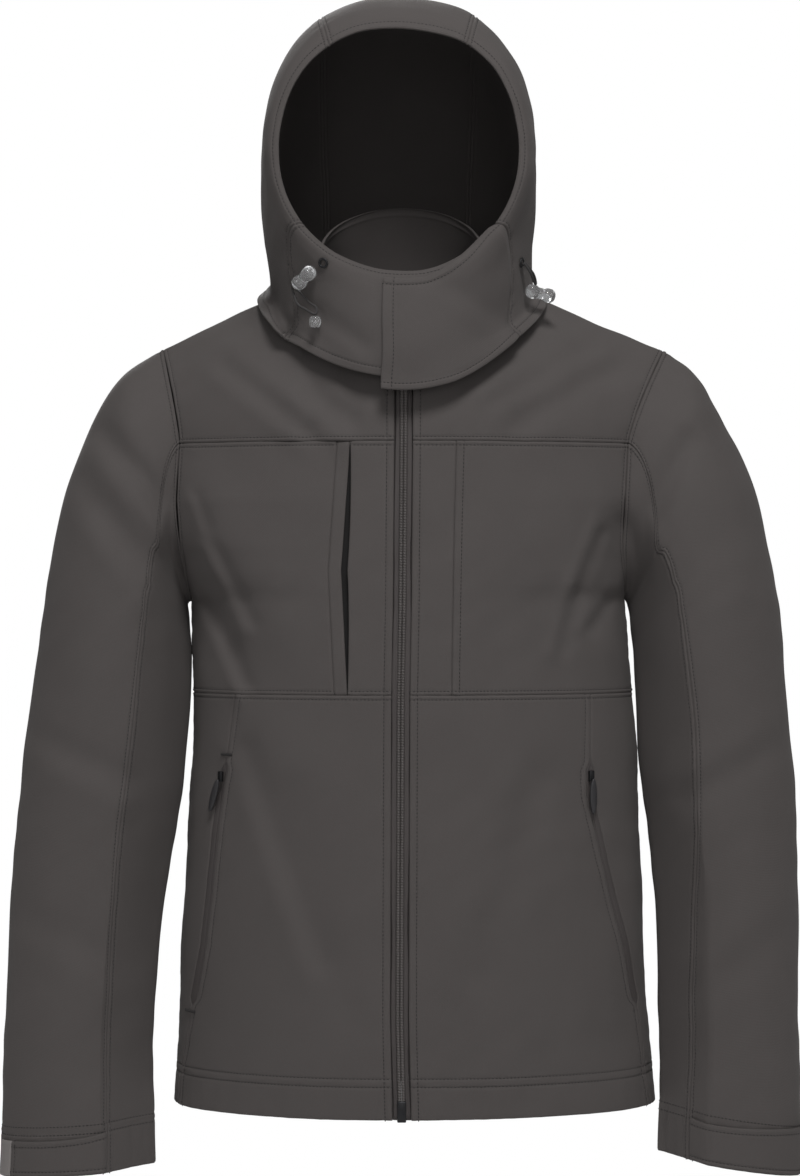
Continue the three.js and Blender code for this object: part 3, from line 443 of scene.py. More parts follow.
        def knot(n: Array) -> Array:
            """Points of the sleeve's rings, ring 0 being the armhole."""
            row = table[np.clip(n, 1, len(table)) - 1]
            half = (1 + np.cos(angle)) / 2
            x = mix(row[..., 2], row[..., 0], half)
            z = mix(row[..., 3], row[..., 1], half)
            hollow = self.sleeve_hollow * np.clip(np.sin(angle), 0, 1) * np.clip(-np.cos(angle) - 0.36, 0, 1)
            ringed = stack(x, row[..., 4] - row[..., 5] * np.sin(angle) + hollow, z)
            return np.where((n <= 0)[..., None], start[:, None, :], ringed)

        plain = curve([knot(i + k) for k in (-1, 0, 1, 2)], (ring - i)[..., None])
        weight = np.where(ring < 0.01, 0.0, np.clip(ring, 0, 1))[..., None]
        return mix(plain, self.folded(plain), weight)

    def sleeve_columns(self, side: Side, upper: bool, count: int) -> tuple[Array, Array, Array]:
        """Columns of the upper or under sleeve along the armhole.

        Args:
            side: wearer's side.
            upper: the upper sleeve, over the shoulder, or the under one.
            count: number of columns.
        Returns:
            Armhole points, angles in degrees and shares of the columns.
        """
        tip = self.tips[side][2]
        middle, half = (self.underarm_z + tip) / 2, (tip - self.underarm_z) / 2
        turn = math.degrees(math.acos((self.yoke_z - middle) / half))
        near = np.linspace(turn, -turn if upper else 360 - turn, count)
        front = np.where(upper, near >= 0, near <= 180)
        z = middle + half * np.cos(np.radians(near))
        edge = np.where(front[:, None], self.armhole(side, Face.FRONT, z), self.armhole(side, Face.BACK, z))
        return edge, near, np.linspace(0, 1, count)

    def loop(self, rows: Rows, degrees: Array, row: Array, square: float) -> Array:
        """Ring point of the hood or the collar.

        Args:
            rows: ring table.
            degrees: angle from the front, positive to the wearer's left.
            row: row number.
            square: below 1 the back half of the ring is squarer.
        Returns:
            Points in mm.
        """
        value = lambda column: smooth_row(rows, column, row)
        sin, cos = np.sin(np.radians(degrees)), np.cos(np.radians(degrees))
        width = np.abs(sin) ** np.where(cos < 0, square, 1.0)
        back = (1 - cos) / 2
        x = self.hood_middle + value(4) * np.sign(sin) * width
        z = mix(value(1), value(3), back) + value(5) * sin**2
        return stack(x, mix(value(0), value(2), back), z)

    def hood(self, degrees: Array, row: Array) -> Array:
        """Hood point.

        Args:
            degrees: angle from the chin, positive to the wearer's left.
            row: ring number from the face opening to the loose edge.
        Returns:
            Points in mm.
        """
        point = self.loop(self.hood_rows, degrees, row, 0.82)
        shift, low, high = self.hood_lean
        point[..., 0] += shift * np.clip((point[..., 2] - low) / (high - low), 0, 1)
        x, y, z = (point[..., k].copy() for k in range(3))
        point[..., 1] += pushed(self.hood_folds, x, z) * np.clip(-y / self.fold_fade, 0, 1)
        return point

    def middle_depth(self, z: Array) -> Array:
        """Depth of the front at the zip.

        Args:
            z: level.
        Returns:
            y in mm.
        """
        x = level(self.middle_rows, 1, z)
        low = self.folded(stack(x, level(self.torso_rows, 3, z), z))[..., 1]
        front_y, front_z = self.neck[3], self.neck[4]
        t = np.clip((z - self.yoke_z) / (front_z - self.yoke_z), 0, 1)
        rise = np.clip((z - front_z) / 54, 0, 1)
        high = mix(level(self.torso_rows, 3, self.yoke_z), front_y, t**2.2) - 2 * rise
        return np.where(z <= self.yoke_z, low, high)


def spaced(length: float, step: float, first: bool, last: bool) -> Array:
    """Shares along a panel, close together beside its sewn edges.

    Args:
        length: length of the panel in mm.
        step: spacing away from the edges, mm.
        first: whether the start is a sewn edge.
        last: whether the end is a sewn edge.
    Returns:
        Rising shares from 0 to 1.
    """
    close = np.array([0.0, 0.5, 1.1, 1.8, 2.5, 3.4, 4.6, 5.8, 6.6, 7.3, 8.1, 9.4])
    close = close[close < length * 0.45]
    start = close if first else np.array([0.0])
    end = length - close[::-1] if last else np.array([length])
    inside = end[0] - start[-1]
    count = max(int(round(inside / step)), 1)
    middle = start[-1] + inside * np.arange(1, count) / count
    return np.concatenate([start, middle, end]) / length


def hem_rows(lines: Sequence[float], reach: float, length: float) -> Array:
    """Extra grid rows at a hem: at its edge, and on and beside its rows of stitches.

    Args:
        lines: distances of the rows of stitches from the hem, mm.
        reach: distance of the outer grid rows from each of them, mm.
        length: length of the panel, mm.
    Returns:
        Shares of the length.
    """
    beside = [line + off for line in lines for off in (-reach, -0.7, 0.0, 0.7, reach)]
    return np.array([0.6, 1.4, *beside]) / length


def about_z(points: Array, turn: float) -> Array:
    """Turned points.

    Args:
        points: the points.
        turn: turn about Z, radians.
    Returns:
        The points after the turn.
    """
    cos, sin = math.cos(turn), math.sin(turn)
    x, y, z = np.moveaxis(points, -1, 0)
    return stack(x * cos - y * sin, x * sin + y * cos, z)


def unit(vectors: Array) -> Array:
    """Vectors of length one."""
    return vectors / np.maximum(np.linalg.norm(vectors, axis=-1, keepdims=True), 1e-9)


@dataclass
class StitchLine:
    """A row of stitches: points on the cloth and the outward direction there, in mm."""

    points: Array
    out: Array


@dataclass
class Panel:
    """One cut piece of cloth: a thin shell over a surface, with its sewn edges.

    Columns and rows of its grid are shares from 0 to 1; lines holds the distances of the
    rows of stitches from the edges u 0, u 1, v 0 and v 1, in mm.
    """

    name: str
    surface: Surface
    us: Array
    vs: Array
    centre: Line
    sewn: Sewn
    lines: Lines = field(default_factory=dict)
    lift: Surface | float = 0.0
    wall: float = 2.0
    gap: float = 0.04
    relief: Callable[[Array, Array, Array], Array] | None = None
    # depth and width of the grooves at a seam, at a loose edge and along a row of stitches
    seam_groove: tuple[float, float] = (0.85, 0.95)
    edge_groove: tuple[float, float] = (0.6, 0.7)
    row_groove: tuple[float, float] = (0.6, 0.95)
    # height of the gathers at a topstitched seam, at a plain seam and at a hem
    gathers: Triple = (0.26, 0.14, 0.4)
    # rise of the doubled cloth inside its last row of stitches, and how softly it ends
    doubled: tuple[float, float] = (0.32, 0.6)
    # heights of the slow and the quick unevenness
    unevenness: tuple[float, float] = (1.05, 0.42)

    def grid(self) -> tuple[Array, Array]:
        """Bare surface points and outward directions.

        Returns:
            Points and directions, both of shape (columns, rows, 3), in mm.
        """
        points = self.surface(self.us[:, None], self.vs[None, :])
        along = np.gradient(points, axis=0)
        up = np.gradient(points, axis=1)
        out = unit(np.cross(along, up))
        facing = np.sum(out * (points - self.centre(self.vs)[None, :, :]))
        return points, out if facing > 0 else -out

    @staticmethod
    def distances(points: Array) -> tuple[Array, Array, Array, Array]:
        """Distance of every point from the four edges, along the cloth.

        Args:
            points: grid points.
        Returns:
            Distances from the edges u 0, u 1, v 0 and v 1, in mm.
        """
        result = []
        for axis in (0, 1):
            parts = steps(points, axis)
            total = np.concatenate([np.zeros_like(np.take(parts, [0], axis)), np.cumsum(parts, axis)], axis)
            result += [total, np.take(total, [-1], axis) - total]
        return result[0], result[1], result[2], result[3]

    @staticmethod
    def pucker(along: Array, away: Array, height: float) -> Array:
        """Small uneven gathers that a seam pulls into the cloth.

        Args:
            along: distance along the seam, mm.
            away: distance from the seam, mm.
            height: height of the gathers, mm.
        Returns:
            Height in mm.
        """
        wave = np.sin(along / 1.9 + 1.7 * np.sin(along / 23)) * (0.55 + 0.45 * np.sin(along / 37))
        wave = wave + 0.6 * np.sin(along / 3.3 + 2.1 * np.sin(along / 41 + 1))
        return height * wave * np.exp(-((away - 3) / 7) ** 2) * (1 - np.exp(-((away / 1.3) ** 2)))

    def edge_relief(self, away: Sequence[Array]) -> Array:
        """Height of the sewn details over the bare cloth.

        Args:
            away: distances from the four edges, mm.
        Returns:
            Height in mm, negative inwards.
        """
        height = np.zeros_like(away[0])
        groove = lambda size, off: size[0] * np.exp(-((off / size[1]) ** 2))
        topstitched, plain, hem = self.gathers
        for k, (kind, distance) in enumerate(zip(self.sewn, away)):
            along = away[2] if k < 2 else away[0]
            rows = self.lines.get(k, ())
            if kind in (Edge.SEAM, Edge.TOPSTITCHED):
                height -= groove(self.seam_groove, distance)
                height += self.pucker(along, distance, topstitched if rows else plain)
            if kind in (Edge.HEM, Edge.FREE):
                height -= groove(self.edge_groove, distance)
            if kind is Edge.HEM and rows:
                height += self.pucker(along, np.maximum(distance - min(rows), 0) + 3, hem)
            for row in rows:
                height -= groove(self.row_groove, distance - row)
            if rows:
                rise, end = self.doubled
                height += rise / (1 + np.exp((distance - max(rows)) / end))
        return height

    def ease(self, points: Array) -> Array:
        """Soft unevenness of hanging cloth, the same for all pieces.

        Args:
            points: surface points, mm.
        Returns:
            Height in mm.
        """
        x, y, z = points[..., 0], points[..., 1], points[..., 2]
        slow = np.sin(x / 21 + 1.6 * np.sin(z / 67)) * np.sin(z / 34 + 1.2 * np.sin((x + y) / 45))
        quick = np.sin(x / 9 - z / 14 + 2 * np.sin(z / 31)) * np.sin(z / 17 + y / 12 + 1.5 * np.sin(x / 26))
        return self.unevenness[0] * slow + self.unevenness[1] * quick

    def line_at(self, points: Array, out: Array, away: Array, axis: int, distance: float) -> StitchLine:
        """Points of the cloth at one distance from an edge.

        Args:
            points: finished grid points.
            out: outward directions.
            away: distances from that edge.
            axis: grid axis that leads away from the edge.
            distance: distance wanted, mm.
        Returns:
            The line.
        """
        if axis == 1:
            points, out, away = points.swapaxes(0, 1), out.swapaxes(0, 1), away.T
        if away[0, 0] > away[-1, 0]:
            points, out, away = points[::-1], out[::-1], away[::-1]
        count = away.shape[1]
        line, normals = [], []
        for j in range(count):
            if away[-1, j] <= distance:
                continue
            at = float(np.interp(distance, away[:, j], np.arange(away.shape[0])))
            k = min(int(at), away.shape[0] - 2)
            line.append(mix(points[k, j], points[k + 1, j], at - k))
            normals.append(mix(out[k, j], out[k + 1, j], at - k))
        return StitchLine(np.array(line).reshape(-1, 3), np.array(normals).reshape(-1, 3))

    def build(self, material: Material) -> tuple[Piece, list[StitchLine]]:
        """Makes the shell and its rows of stitches.

        Args:
            material: cloth finish.
        Returns:
            The object and the stitch lines.
        """
        points, out = self.grid()
        away = self.distances(points)
        height = self.edge_relief(away)
        if self.relief is not None:
            height = height + self.relief(points, away[0], away[2])
        lift = self.lift(self.us[:, None], self.vs[None, :]) if callable(self.lift) else self.lift
        height = height + self.ease(points) + lift
        skin = points.copy()
        for axis in (0, 1):
            for end, kind in ((0, self.sewn[2 * axis]), (-1, self.sewn[2 * axis + 1])):
                if kind in (Edge.SEAM, Edge.TOPSTITCHED):
                    edge = np.take(skin, end, axis)
                    inner = np.take(skin, 1 if end == 0 else -2, axis)
                    index = (end, slice(None)) if axis == 0 else (slice(None), end)
                    skin[index] = edge + unit(inner - edge) * self.gap / 2
        outer = skin + out * height[..., None]
        inner = skin + out * (height - self.wall)[..., None]
        made = shell(f"{self.name}_cloth", outer, inner, away, material)
        stitches = []
        for k, rows in self.lines.items():
            for row in rows:
                stitches.append(self.line_at(outer, out, away[k], k // 2, row))
        return made, [line for line in stitches if len(line.points) > 2]


def steps(points: Array, axis: int = 0) -> Array:
    """Distances between neighbours along an axis."""
    return np.linalg.norm(np.diff(points, axis=axis), axis=-1)


def placed(name: str, data: bpy.types.ID) -> Piece:
    """New object in the scene.

    Args:
        name: object name.
        data: its mesh, light or camera.
    Returns:
        The object.
    """
    made = bpy.data.objects.new(name, data)
    bpy.context.scene.collection.objects.link(made)
    return made


def smooth(mesh: bpy.types.Mesh) -> None:
    """Shades every face smoothly."""
    mesh.polygons.foreach_set("use_smooth", [True] * len(mesh.polygons))


def shell(name: str, outer: Array, inner: Array, away: Sequence[Array],
          material: Material) -> Piece:
    """Closed thin shell between two grids.

    Args:
        name: object name.
        outer: outer grid, mm.
        inner: inner grid, mm.
        away: distances of the points from the four edges, mm.
        material: finish.
    Returns:
        The object.
    """
    columns, rows = outer.shape[:2]
    corners = np.concatenate([outer.reshape(-1, 3), inner.reshape(-1, 3)]) * MM
    at = np.arange(columns * rows).reshape(columns, rows)
    low = at + columns * rows
    quads = [np.stack([at[:-1, :-1], at[1:, :-1], at[1:, 1:], at[:-1, 1:]], -1).reshape(-1, 4),
             np.stack([low[:-1, :-1], low[:-1, 1:], low[1:, 1:], low[1:, :-1]], -1).reshape(-1, 4)]
    for top, under in ((at[:, 0], low[:, 0]), (at[::-1, -1], low[::-1, -1]),
                       (at[0, ::-1], low[0, ::-1]), (at[-1, :], low[-1, :])):
        quads.append(np.stack([top[:-1], under[:-1], under[1:], top[1:]], -1))
    faces = np.concatenate(quads)
    mesh = bpy.data.meshes.new(name)
    mesh.from_pydata(corners.tolist(), [], faces.tolist())
    a, b, c, d = (corners[faces[:, k]] for k in range(4))
    volume = np.sum(np.cross(b - a, c - a) * a) + np.sum(np.cross(c - a, d - a) * a)
    if volume < 0:
        mesh.flip_normals()
    smooth(mesh)
    layer = mesh.uv_layers.new(name="cloth")
    uv = np.stack([away[0], away[2]], -1).reshape(-1, 2) * MM
    loops = np.empty(len(mesh.loops), dtype=np.int32)
    mesh.loops.foreach_get("vertex_index", loops)
    layer.data.foreach_set("uv", uv[loops % (columns * rows)].ravel())
    mesh.materials.append(material)
    mesh.update()
    return placed(name, mesh)


@dataclass
class NodeTree:
    """Small helper that adds and joins nodes in a tree."""

    tree: bpy.types.NodeTree

    def put(self, socket: bpy.types.NodeSocket, value: object) -> None:
        """Feeds an input.

        Args:
            socket: the input.
            value: an output to join it to, or a value to set.
        """
        if isinstance(value, bpy.types.NodeSocket):
            self.tree.links.new(value, socket)
        else:
            socket.default_value = value

    def fill(self, node: bpy.types.Node, **inputs: object) -> None:
        """Feeds the inputs of a node, named with _ for a space."""
        for name, value in inputs.items():
            self.put(node.inputs[name.replace("_", " ")], value)

    def add(self, kind: str, **inputs: object) -> bpy.types.Node:
        """Adds a node and feeds its inputs.

        Args:
            kind: node type.
            inputs: values by socket name, with _ for a space; attributes start with at_.
        Returns:
            The node.
        """
        node = self.tree.nodes.new(kind)
        for name in [name for name in inputs if name.startswith("at_")]:
            setattr(node, name[3:], inputs.pop(name))
        self.fill(node, **inputs)
        return node

    def math(self, operation: str, *values: object) -> bpy.types.NodeSocket:
        """Adds a math node.

        Args:
            operation: what it does.
            values: its inputs in order.
        Returns:
            Its output.
        """
        node = self.add("ShaderNodeMath", at_operation=operation)
        for socket, value in zip(node.inputs, values):
            self.put(socket, value)
        return node.outputs[0]


def weave_group() -> bpy.types.NodeTree:
    """Shader group for bonded softshell: a fine face weave with grain, soft wear and height.

    Returns:
        The node group with outputs Mask and Height.
    """
    tree = bpy.data.node_groups.new("softshell_weave", "ShaderNodeTree")
    for label, way in (("Pitch", "INPUT"), ("Mask", "OUTPUT"), ("Height", "OUTPUT")):
        tree.interface.new_socket(label, in_out=way, socket_type="NodeSocketFloat")
    make = NodeTree(tree)
    inside, outside = tree.nodes.new("NodeGroupInput"), tree.nodes.new("NodeGroupOutput")
    place = make.add("ShaderNodeUVMap", at_uv_map="cloth").outputs["UV"]
    waves = []
    for turn in (math.radians(45), math.radians(-45)):
        turned = make.add("ShaderNodeMapping", Vector=place, Rotation=(0.0, 0.0, turn)).outputs["Vector"]
        wave = make.add("ShaderNodeTexWave", Vector=turned, Scale=inside.outputs["Pitch"])
        waves.append(wave.outputs["Fac"])
    body = make.add("ShaderNodeTexCoord").outputs["Object"]
    grain = make.add("ShaderNodeTexNoise", Vector=body, Scale=900.0, Detail=3.0, Roughness=0.6).outputs["Fac"]
    cloud = make.add("ShaderNodeTexNoise", Vector=body, Scale=26.0, Detail=4.0, Roughness=0.55).outputs["Fac"]
    make.fill(outside, Mask=make.math("MULTIPLY_ADD", grain, 0.65, make.math("MULTIPLY", cloud, 0.35)),
              Height=make.math("MULTIPLY_ADD", grain, 0.7, make.math("MULTIPLY", *waves)))
    return tree


def blank_material(name: str) -> tuple[Material, NodeTree, bpy.types.Node]:
    """New material to be dressed.

    Args:
        name: material name.
    Returns:
        The material, the helper for its node tree and its Principled BSDF.
    """
    material = bpy.data.materials.new(name)
    material.use_nodes = True
    return material, NodeTree(material.node_tree), material.node_tree.nodes["Principled BSDF"]


@dataclass(frozen=True)
class ClothFinish:
    """Bonded softshell: matt, slightly napped, one warm dark grey."""

    name: str = "softshell"
    dark: Triple = (0.058, 0.0517, 0.0498)
    light: Triple = (0.080, 0.0719, 0.0695)
    roughness: float = 0.82
    specular: float = 0.22
    sheen: float = 0.05
    bump: float = 0.22
    pitch: float = 340.0

    def material(self, weave: bpy.types.NodeTree) -> Material:
        """Makes the material.

        Args:
            weave: shader group with the weave.
        Returns:
            The material.
        """
        material, make, main = blank_material(self.name)
        pattern = make.add("ShaderNodeGroup", at_node_tree=weave, Pitch=self.pitch)
        tint = make.add("ShaderNodeMix", at_data_type="RGBA")
        for index, value in ((0, pattern.outputs["Mask"]), (6, (*self.dark, 1.0)), (7, (*self.light, 1.0))):
            make.put(tint.inputs[index], value)
        bump = make.add("ShaderNodeBump", Strength=self.bump, Distance=0.4 * MM,
                        Height=pattern.outputs["Height"])
        make.fill(main, Base_Color=tint.outputs[2], Normal=bump.outputs["Normal"], Roughness=self.roughness,
                  Specular_IOR_Level=self.specular, Sheen_Weight=self.sheen, Sheen_Roughness=0.55,
                  Sheen_Tint=(0.9, 0.86, 0.84, 1.0))
        return material


@dataclass(frozen=True)
class PlainFinish:
    """A plain finish set by a few numbers."""

    name: str
    color: Triple
    roughness: float = 0.5
    metallic: float = 0.0
    clear: float = 0.0

    def material(self) -> Material:
        """Makes the material.

        Returns:
            The material.
        """
        material, make, main = blank_material(self.name)
        make.fill(main, Base_Color=(*self.color, 1.0), Roughness=self.roughness, Metallic=self.metallic,
                  Transmission_Weight=self.clear, IOR=1.46)
        return material


PLAIN_FINISHES = (
    # stitch thread darker than the cloth: painted shade of the stitch holes and grooves
    PlainFinish("thread", (0.017, 0.015, 0.015), roughness=0.7),
    PlainFinish("zip_tape", (0.05, 0.043, 0.042), roughness=0.75),
    PlainFinish("zip_coil", (0.115, 0.104, 0.1), roughness=0.45),
    PlainFinish("dark_metal", (0.03, 0.03, 0.032), roughness=0.35, metallic=0.8),
    PlainFinish("pull", (0.025, 0.024, 0.026), roughness=0.5),
    PlainFinish("clear_plastic", (0.95, 0.96, 0.97), roughness=0.06, clear=0.92),
    # near-black pocket back: painted shade inside the chest pocket's opening
    PlainFinish("pocket_lining", (0.008, 0.007, 0.007), roughness=0.9),
    PlainFinish("tab_end", (0.18, 0.165, 0.16), roughness=0.6),
    PlainFinish("cord", (0.03, 0.028, 0.028), roughness=0.8),
)


@dataclass(frozen=True)
class Repeater:
    """Sets one small shape again and again along lines, with Geometry Nodes."""

    name: str
    pitch: float
    size: Triple
    turn: float = 0.0

    def tree(self, material: Material) -> bpy.types.NodeTree:
        """Node tree that places the shape.

        Args:
            material: finish of the shape.
        Returns:
            The tree, with inputs Pitch and Size.
        """
        tree = bpy.data.node_groups.new(self.name + "_nodes", "GeometryNodeTree")
        for label, kind, way in (("Geometry", "Geometry", "INPUT"), ("Pitch", "Float", "INPUT"),
                                 ("Size", "Vector", "INPUT"), ("Geometry", "Geometry", "OUTPUT")):
            tree.interface.new_socket(label, in_out=way, socket_type=f"NodeSocket{kind}")
        make = NodeTree(tree)
        given, result = tree.nodes.new("NodeGroupInput"), tree.nodes.new("NodeGroupOutput")
        line = make.add("GeometryNodeMeshToCurve", Mesh=given.outputs["Geometry"])
        even = make.add("GeometryNodeResampleCurve", at_mode="LENGTH", Curve=line.outputs["Curve"],
                        Length=given.outputs["Pitch"])
        tangent = make.add("GeometryNodeInputTangent").outputs["Tangent"]
        out = make.add("GeometryNodeInputNamedAttribute", at_data_type="FLOAT_VECTOR", Name="out")
        first = make.add("FunctionNodeAlignRotationToVector", at_axis="X", Vector=tangent)
        second = make.add("FunctionNodeAlignRotationToVector", at_axis="Z", at_pivot_axis="X",
                          Vector=out.outputs["Attribute"], Rotation=first.outputs["Rotation"])
        turned = make.add("FunctionNodeRotateRotation", at_rotation_space="LOCAL",
                          Rotation=second.outputs["Rotation"], Rotate_By=(0.0, 0.0, self.turn))
        ball = make.add("GeometryNodeMeshUVSphere", Segments=6, Rings=4, Radius=0.5)
        shape = make.add("GeometryNodeTransform", Geometry=ball.outputs["Mesh"], Scale=given.outputs["Size"])
        placed = make.add("GeometryNodeInstanceOnPoints", Points=even.outputs["Curve"],
                          Instance=shape.outputs["Geometry"], Rotation=turned.outputs["Rotation"])
        real = make.add("GeometryNodeRealizeInstances", Geometry=placed.outputs["Instances"])
        dressed = make.add("GeometryNodeSetMaterial", Geometry=real.outputs["Geometry"], Material=material)
        make.fill(result, Geometry=dressed.outputs["Geometry"])
        return tree

    def build(self, lines: Sequence[StitchLine], material: Material) -> Piece:
        """Makes the finished mesh.

        Args:
            lines: lines to follow, mm.
            material: finish of the shape.
        Returns:
            The object, a plain mesh.
        """
        points = np.concatenate([line.points for line in lines]) * MM
        out = np.concatenate([line.out for line in lines])
        edges, start = [], 0
        for line in lines:
            edges += [(start + k, start + k + 1) for k in range(len(line.points) - 1)]
            start += len(line.points)
        guide_mesh = bpy.data.meshes.new(self.name + "_guide")
        guide_mesh.from_pydata(points.tolist(), edges, [])
        layer = guide_mesh.attributes.new("out", "FLOAT_VECTOR", "POINT")
        layer.data.foreach_set("vector", out.ravel())
        guide = placed(self.name + "_guide", guide_mesh)
        modifier = guide.modifiers.new("repeat", "NODES")
        tree = self.tree(material)
        modifier.node_group = tree
        values = {"Pitch": self.pitch * MM, "Size": tuple(value * MM for value in self.size)}
        for socket in tree.interface.items_tree:
            if socket.name in values:
                modifier[socket.identifier] = values[socket.name]
        guide.update_tag()
        bpy.context.view_layer.update()
        seen = guide.evaluated_get(bpy.context.evaluated_depsgraph_get())
        mesh = bpy.data.meshes.new_from_object(seen)
        guide.modifiers.remove(modifier)
        bpy.data.objects.remove(guide)
        smooth(mesh)
        mesh.name = self.name
        return placed(self.name, mesh)


@dataclass
class Torso:
    """Fronts, chest pocket, side fronts, yoke and back."""

    form: JacketForm
    step: float = 4.0
    beside_seam: tuple[float, ...] = (3.6,)
    beside_zip: tuple[float, ...] = (6.2,)
    hem_lines: tuple[float, ...] = (28.0, 35.0)
    hem_reach: float = 1.5
    low_z: float = -725.0
    back_step: float = 4.5
    # length of the back above the yoke line
    back_rise: float = 110.0
    welt: float = 11.0
    slot_bow: float = 5.0

    def axis(self, low: float, high: float) -> Line:
        """Middle of the torso at each row."""
        return lambda vs: self.form.axis(mix(low, high, vs))

    def zip_edge(self, side: Side) -> Line:
        """Edge of the front beside the zip."""
        form = self.form
        return lambda z: level(form.middle_rows, 1, z) + side.value * (form.zip_half + form.seam)

    def pocket_edge(self, side: Side, away: int) -> Line:
        """Edge of a panel on the hand-pocket seam.

        Args:
            side: wearer's side.
            away: 1 for the side front, -1 for the lower front.
        Returns:
            x by level.
        """
        half = lambda z: level(self.form.slot_rows, 1, z) * self.form.slot_half
        return lambda z: level(self.form.pocket_rows, side.column, z) + side.value * away * half(z)

    def chest_seam(self, side: Side) -> Line:
        """Upright chest seam."""
        return lambda z: level(self.form.chest_rows, side.column, z)

    def between(self, name: str, side: Side, low: float, high: float, start: Line, end: Line | None,
                width: float, sewn: Sewn, lines: Lines,
                lift: Surface | float = 0.0, wall: float = 2.0) -> Panel:
        """Front panel between two upright lines.

        Args:
            name: node name.
            side: wearer's side.
            low: lowest level.
            high: highest level.
            start: first edge, x by level.
            end: last edge, or None for the side seam.
            width: rough width, mm.
            sewn: how its four edges end.
            lines: stitch rows beside each edge, mm.
            lift: height over the surface.
            wall: thickness.
        Returns:
            The panel.
        """
        def surface(us: Array, vs: Array) -> Array:
            """Point at column and row shares."""
            z = mix(low, high, vs)
            first = self.form.share_at(side, z, start(z))
            last = np.ones_like(z) if end is None else self.form.share_at(side, z, end(z))
            share = mix(first, last, us)
            return self.form.torso(side, Face.FRONT, np.broadcast_to(z, share.shape), share)

        us = spaced(width, self.step, sewn[0].close, sewn[1].close)
        vs = spaced(high - low, self.step, sewn[2].close, sewn[3].close)
        if Edge.HEM in sewn[2:]:
            vs = np.union1d(vs, hem_rows(self.hem_lines, self.hem_reach, high - low))
        return Panel(name, surface, us, vs, self.axis(low, high), sewn, lines, lift=lift, wall=wall)

    def yoke_panel(self, side: Side) -> Panel:
        """Front yoke.

        Args:
            side: wearer's side.
        Returns:
            The panel.
        """
        form = self.form
        z = np.array(form.yoke_z)
        start = float(form.share_at(side, z, self.zip_edge(side)(z)))
        return Panel(f"front_yoke_{side.tag}", lambda us, vs: form.yoke(side, Face.FRONT, vs, us, start),
                     spaced(205, self.step, True, True), spaced(105, 4.6, True, True), self.axis(-170, -80),
                     (Edge.FREE, Edge.TOPSTITCHED, Edge.TOPSTITCHED, Edge.SEAM),
                     {0: self.beside_zip, 1: self.beside_seam, 2: self.beside_seam})

    def back_panel(self) -> Panel:
        """Back, from hem to shoulder seams.

        Returns:
            The panel.
        """
        form = self.form
        low_part = (form.yoke_z - self.low_z) / (form.yoke_z - self.low_z + self.back_rise)

        def half(side: Side, share: Array, vs: Array) -> Array:
            """Points of one half of the back."""
            z = mix(self.low_z, form.yoke_z, np.clip(vs / low_part, 0, 1))
            low = form.torso(side, Face.BACK, np.broadcast_to(z, share.shape), share)
            t = np.clip((vs - low_part) / (1 - low_part), 0, 1)
            high = form.yoke(side, Face.BACK, np.broadcast_to(t, share.shape), share, 0.0)
            return np.where((vs > low_part)[..., None], high, low)

        def surface(us: Array, vs: Array) -> Array:
            """Point at column and row shares."""
            share = np.broadcast_to(np.abs(2 * us - 1), (us.shape[0], vs.shape[1]))
            right, left = half(Side.RIGHT, share, vs), half(Side.LEFT, share, vs)
            return np.where((np.broadcast_to(us, share.shape) < 0.5)[..., None], right, left)

        length, step = form.yoke_z - self.low_z + self.back_rise, self.back_step
        vs = np.union1d(spaced(length, step, False, True), hem_rows(self.hem_lines, self.hem_reach, length))
        return Panel("back", surface, spaced(470, step, True, True), vs, self.axis(self.low_z, -90),
                     (Edge.SEAM, Edge.SEAM, Edge.HEM, Edge.SEAM), {2: self.hem_lines})

    def panels(self) -> list[Panel]:
        """All panels of the torso.

        Returns:
            The panels, named as their nodes.
        """
        form, made = self.form, []
        seam, free, top, hem = Edge.SEAM, Edge.FREE, Edge.TOPSTITCHED, Edge.HEM
        low, waist, yoke = self.low_z, form.waist_z, form.yoke_z
        beside, by_zip = self.beside_seam, self.beside_zip
        for side in Side:
            tag, zip_edge = side.tag, self.zip_edge(side)
            made += [
                self.between(f"lower_front_{tag}", side, low, waist, zip_edge, self.pocket_edge(side, -1), 170,
                             (free, top, hem, top), {0: by_zip, 1: (6.0,), 2: self.hem_lines, 3: beside}),
                self.between(f"side_front_{tag}", side, low, waist, self.pocket_edge(side, 1), None, 55,
                             (top, seam, hem, top), {2: self.hem_lines, 3: beside}),
                self.yoke_panel(side),
            ]
        bow = lambda z: np.sin(np.pi * (z - waist) / (yoke - waist))
        right, left = self.chest_seam(Side.RIGHT), self.chest_seam(Side.LEFT)
        slot_edge = lambda z: right(z) + 0.6 + self.slot_bow * bow(z)
        welt_edge = lambda z: right(z) - self.welt
        sag = lambda us, vs: -3.6 - 4 * np.sin(np.pi * vs) ** 0.5 * np.sin(np.pi * us)
        across = {2: beside, 3: beside}
        return made + [
            self.between("chest_inner_r", Side.RIGHT, waist, yoke, self.zip_edge(Side.RIGHT), slot_edge, 36,
                         (free, free, top, top), {0: by_zip, **across}),
            self.between("chest_pocket_welt_r", Side.RIGHT, waist, yoke, right, welt_edge, self.welt,
                         (free, seam, top, top), {}),
            self.between("chest_outer_r", Side.RIGHT, waist, yoke, welt_edge, None, 135,
                         (seam, top, top, top), {1: beside, **across}),
            self.between("chest_pocket_back_r", Side.RIGHT, waist + 3, yoke - 3, lambda z: slot_edge(z) + 9,
                         lambda z: right(z) - 9, 20, (free,) * 4, {}, lift=sag, wall=1.0),
            self.between("chest_inner_l", Side.LEFT, waist, yoke, self.zip_edge(Side.LEFT), left, 36,
                         (free, seam, top, top), {0: by_zip, **across}),
            self.between("chest_outer_l", Side.LEFT, waist, yoke, left, None, 155,
                         (top, top, top, top), {0: (6.4,), 1: beside, **across}),
            self.back_panel(),
        ]


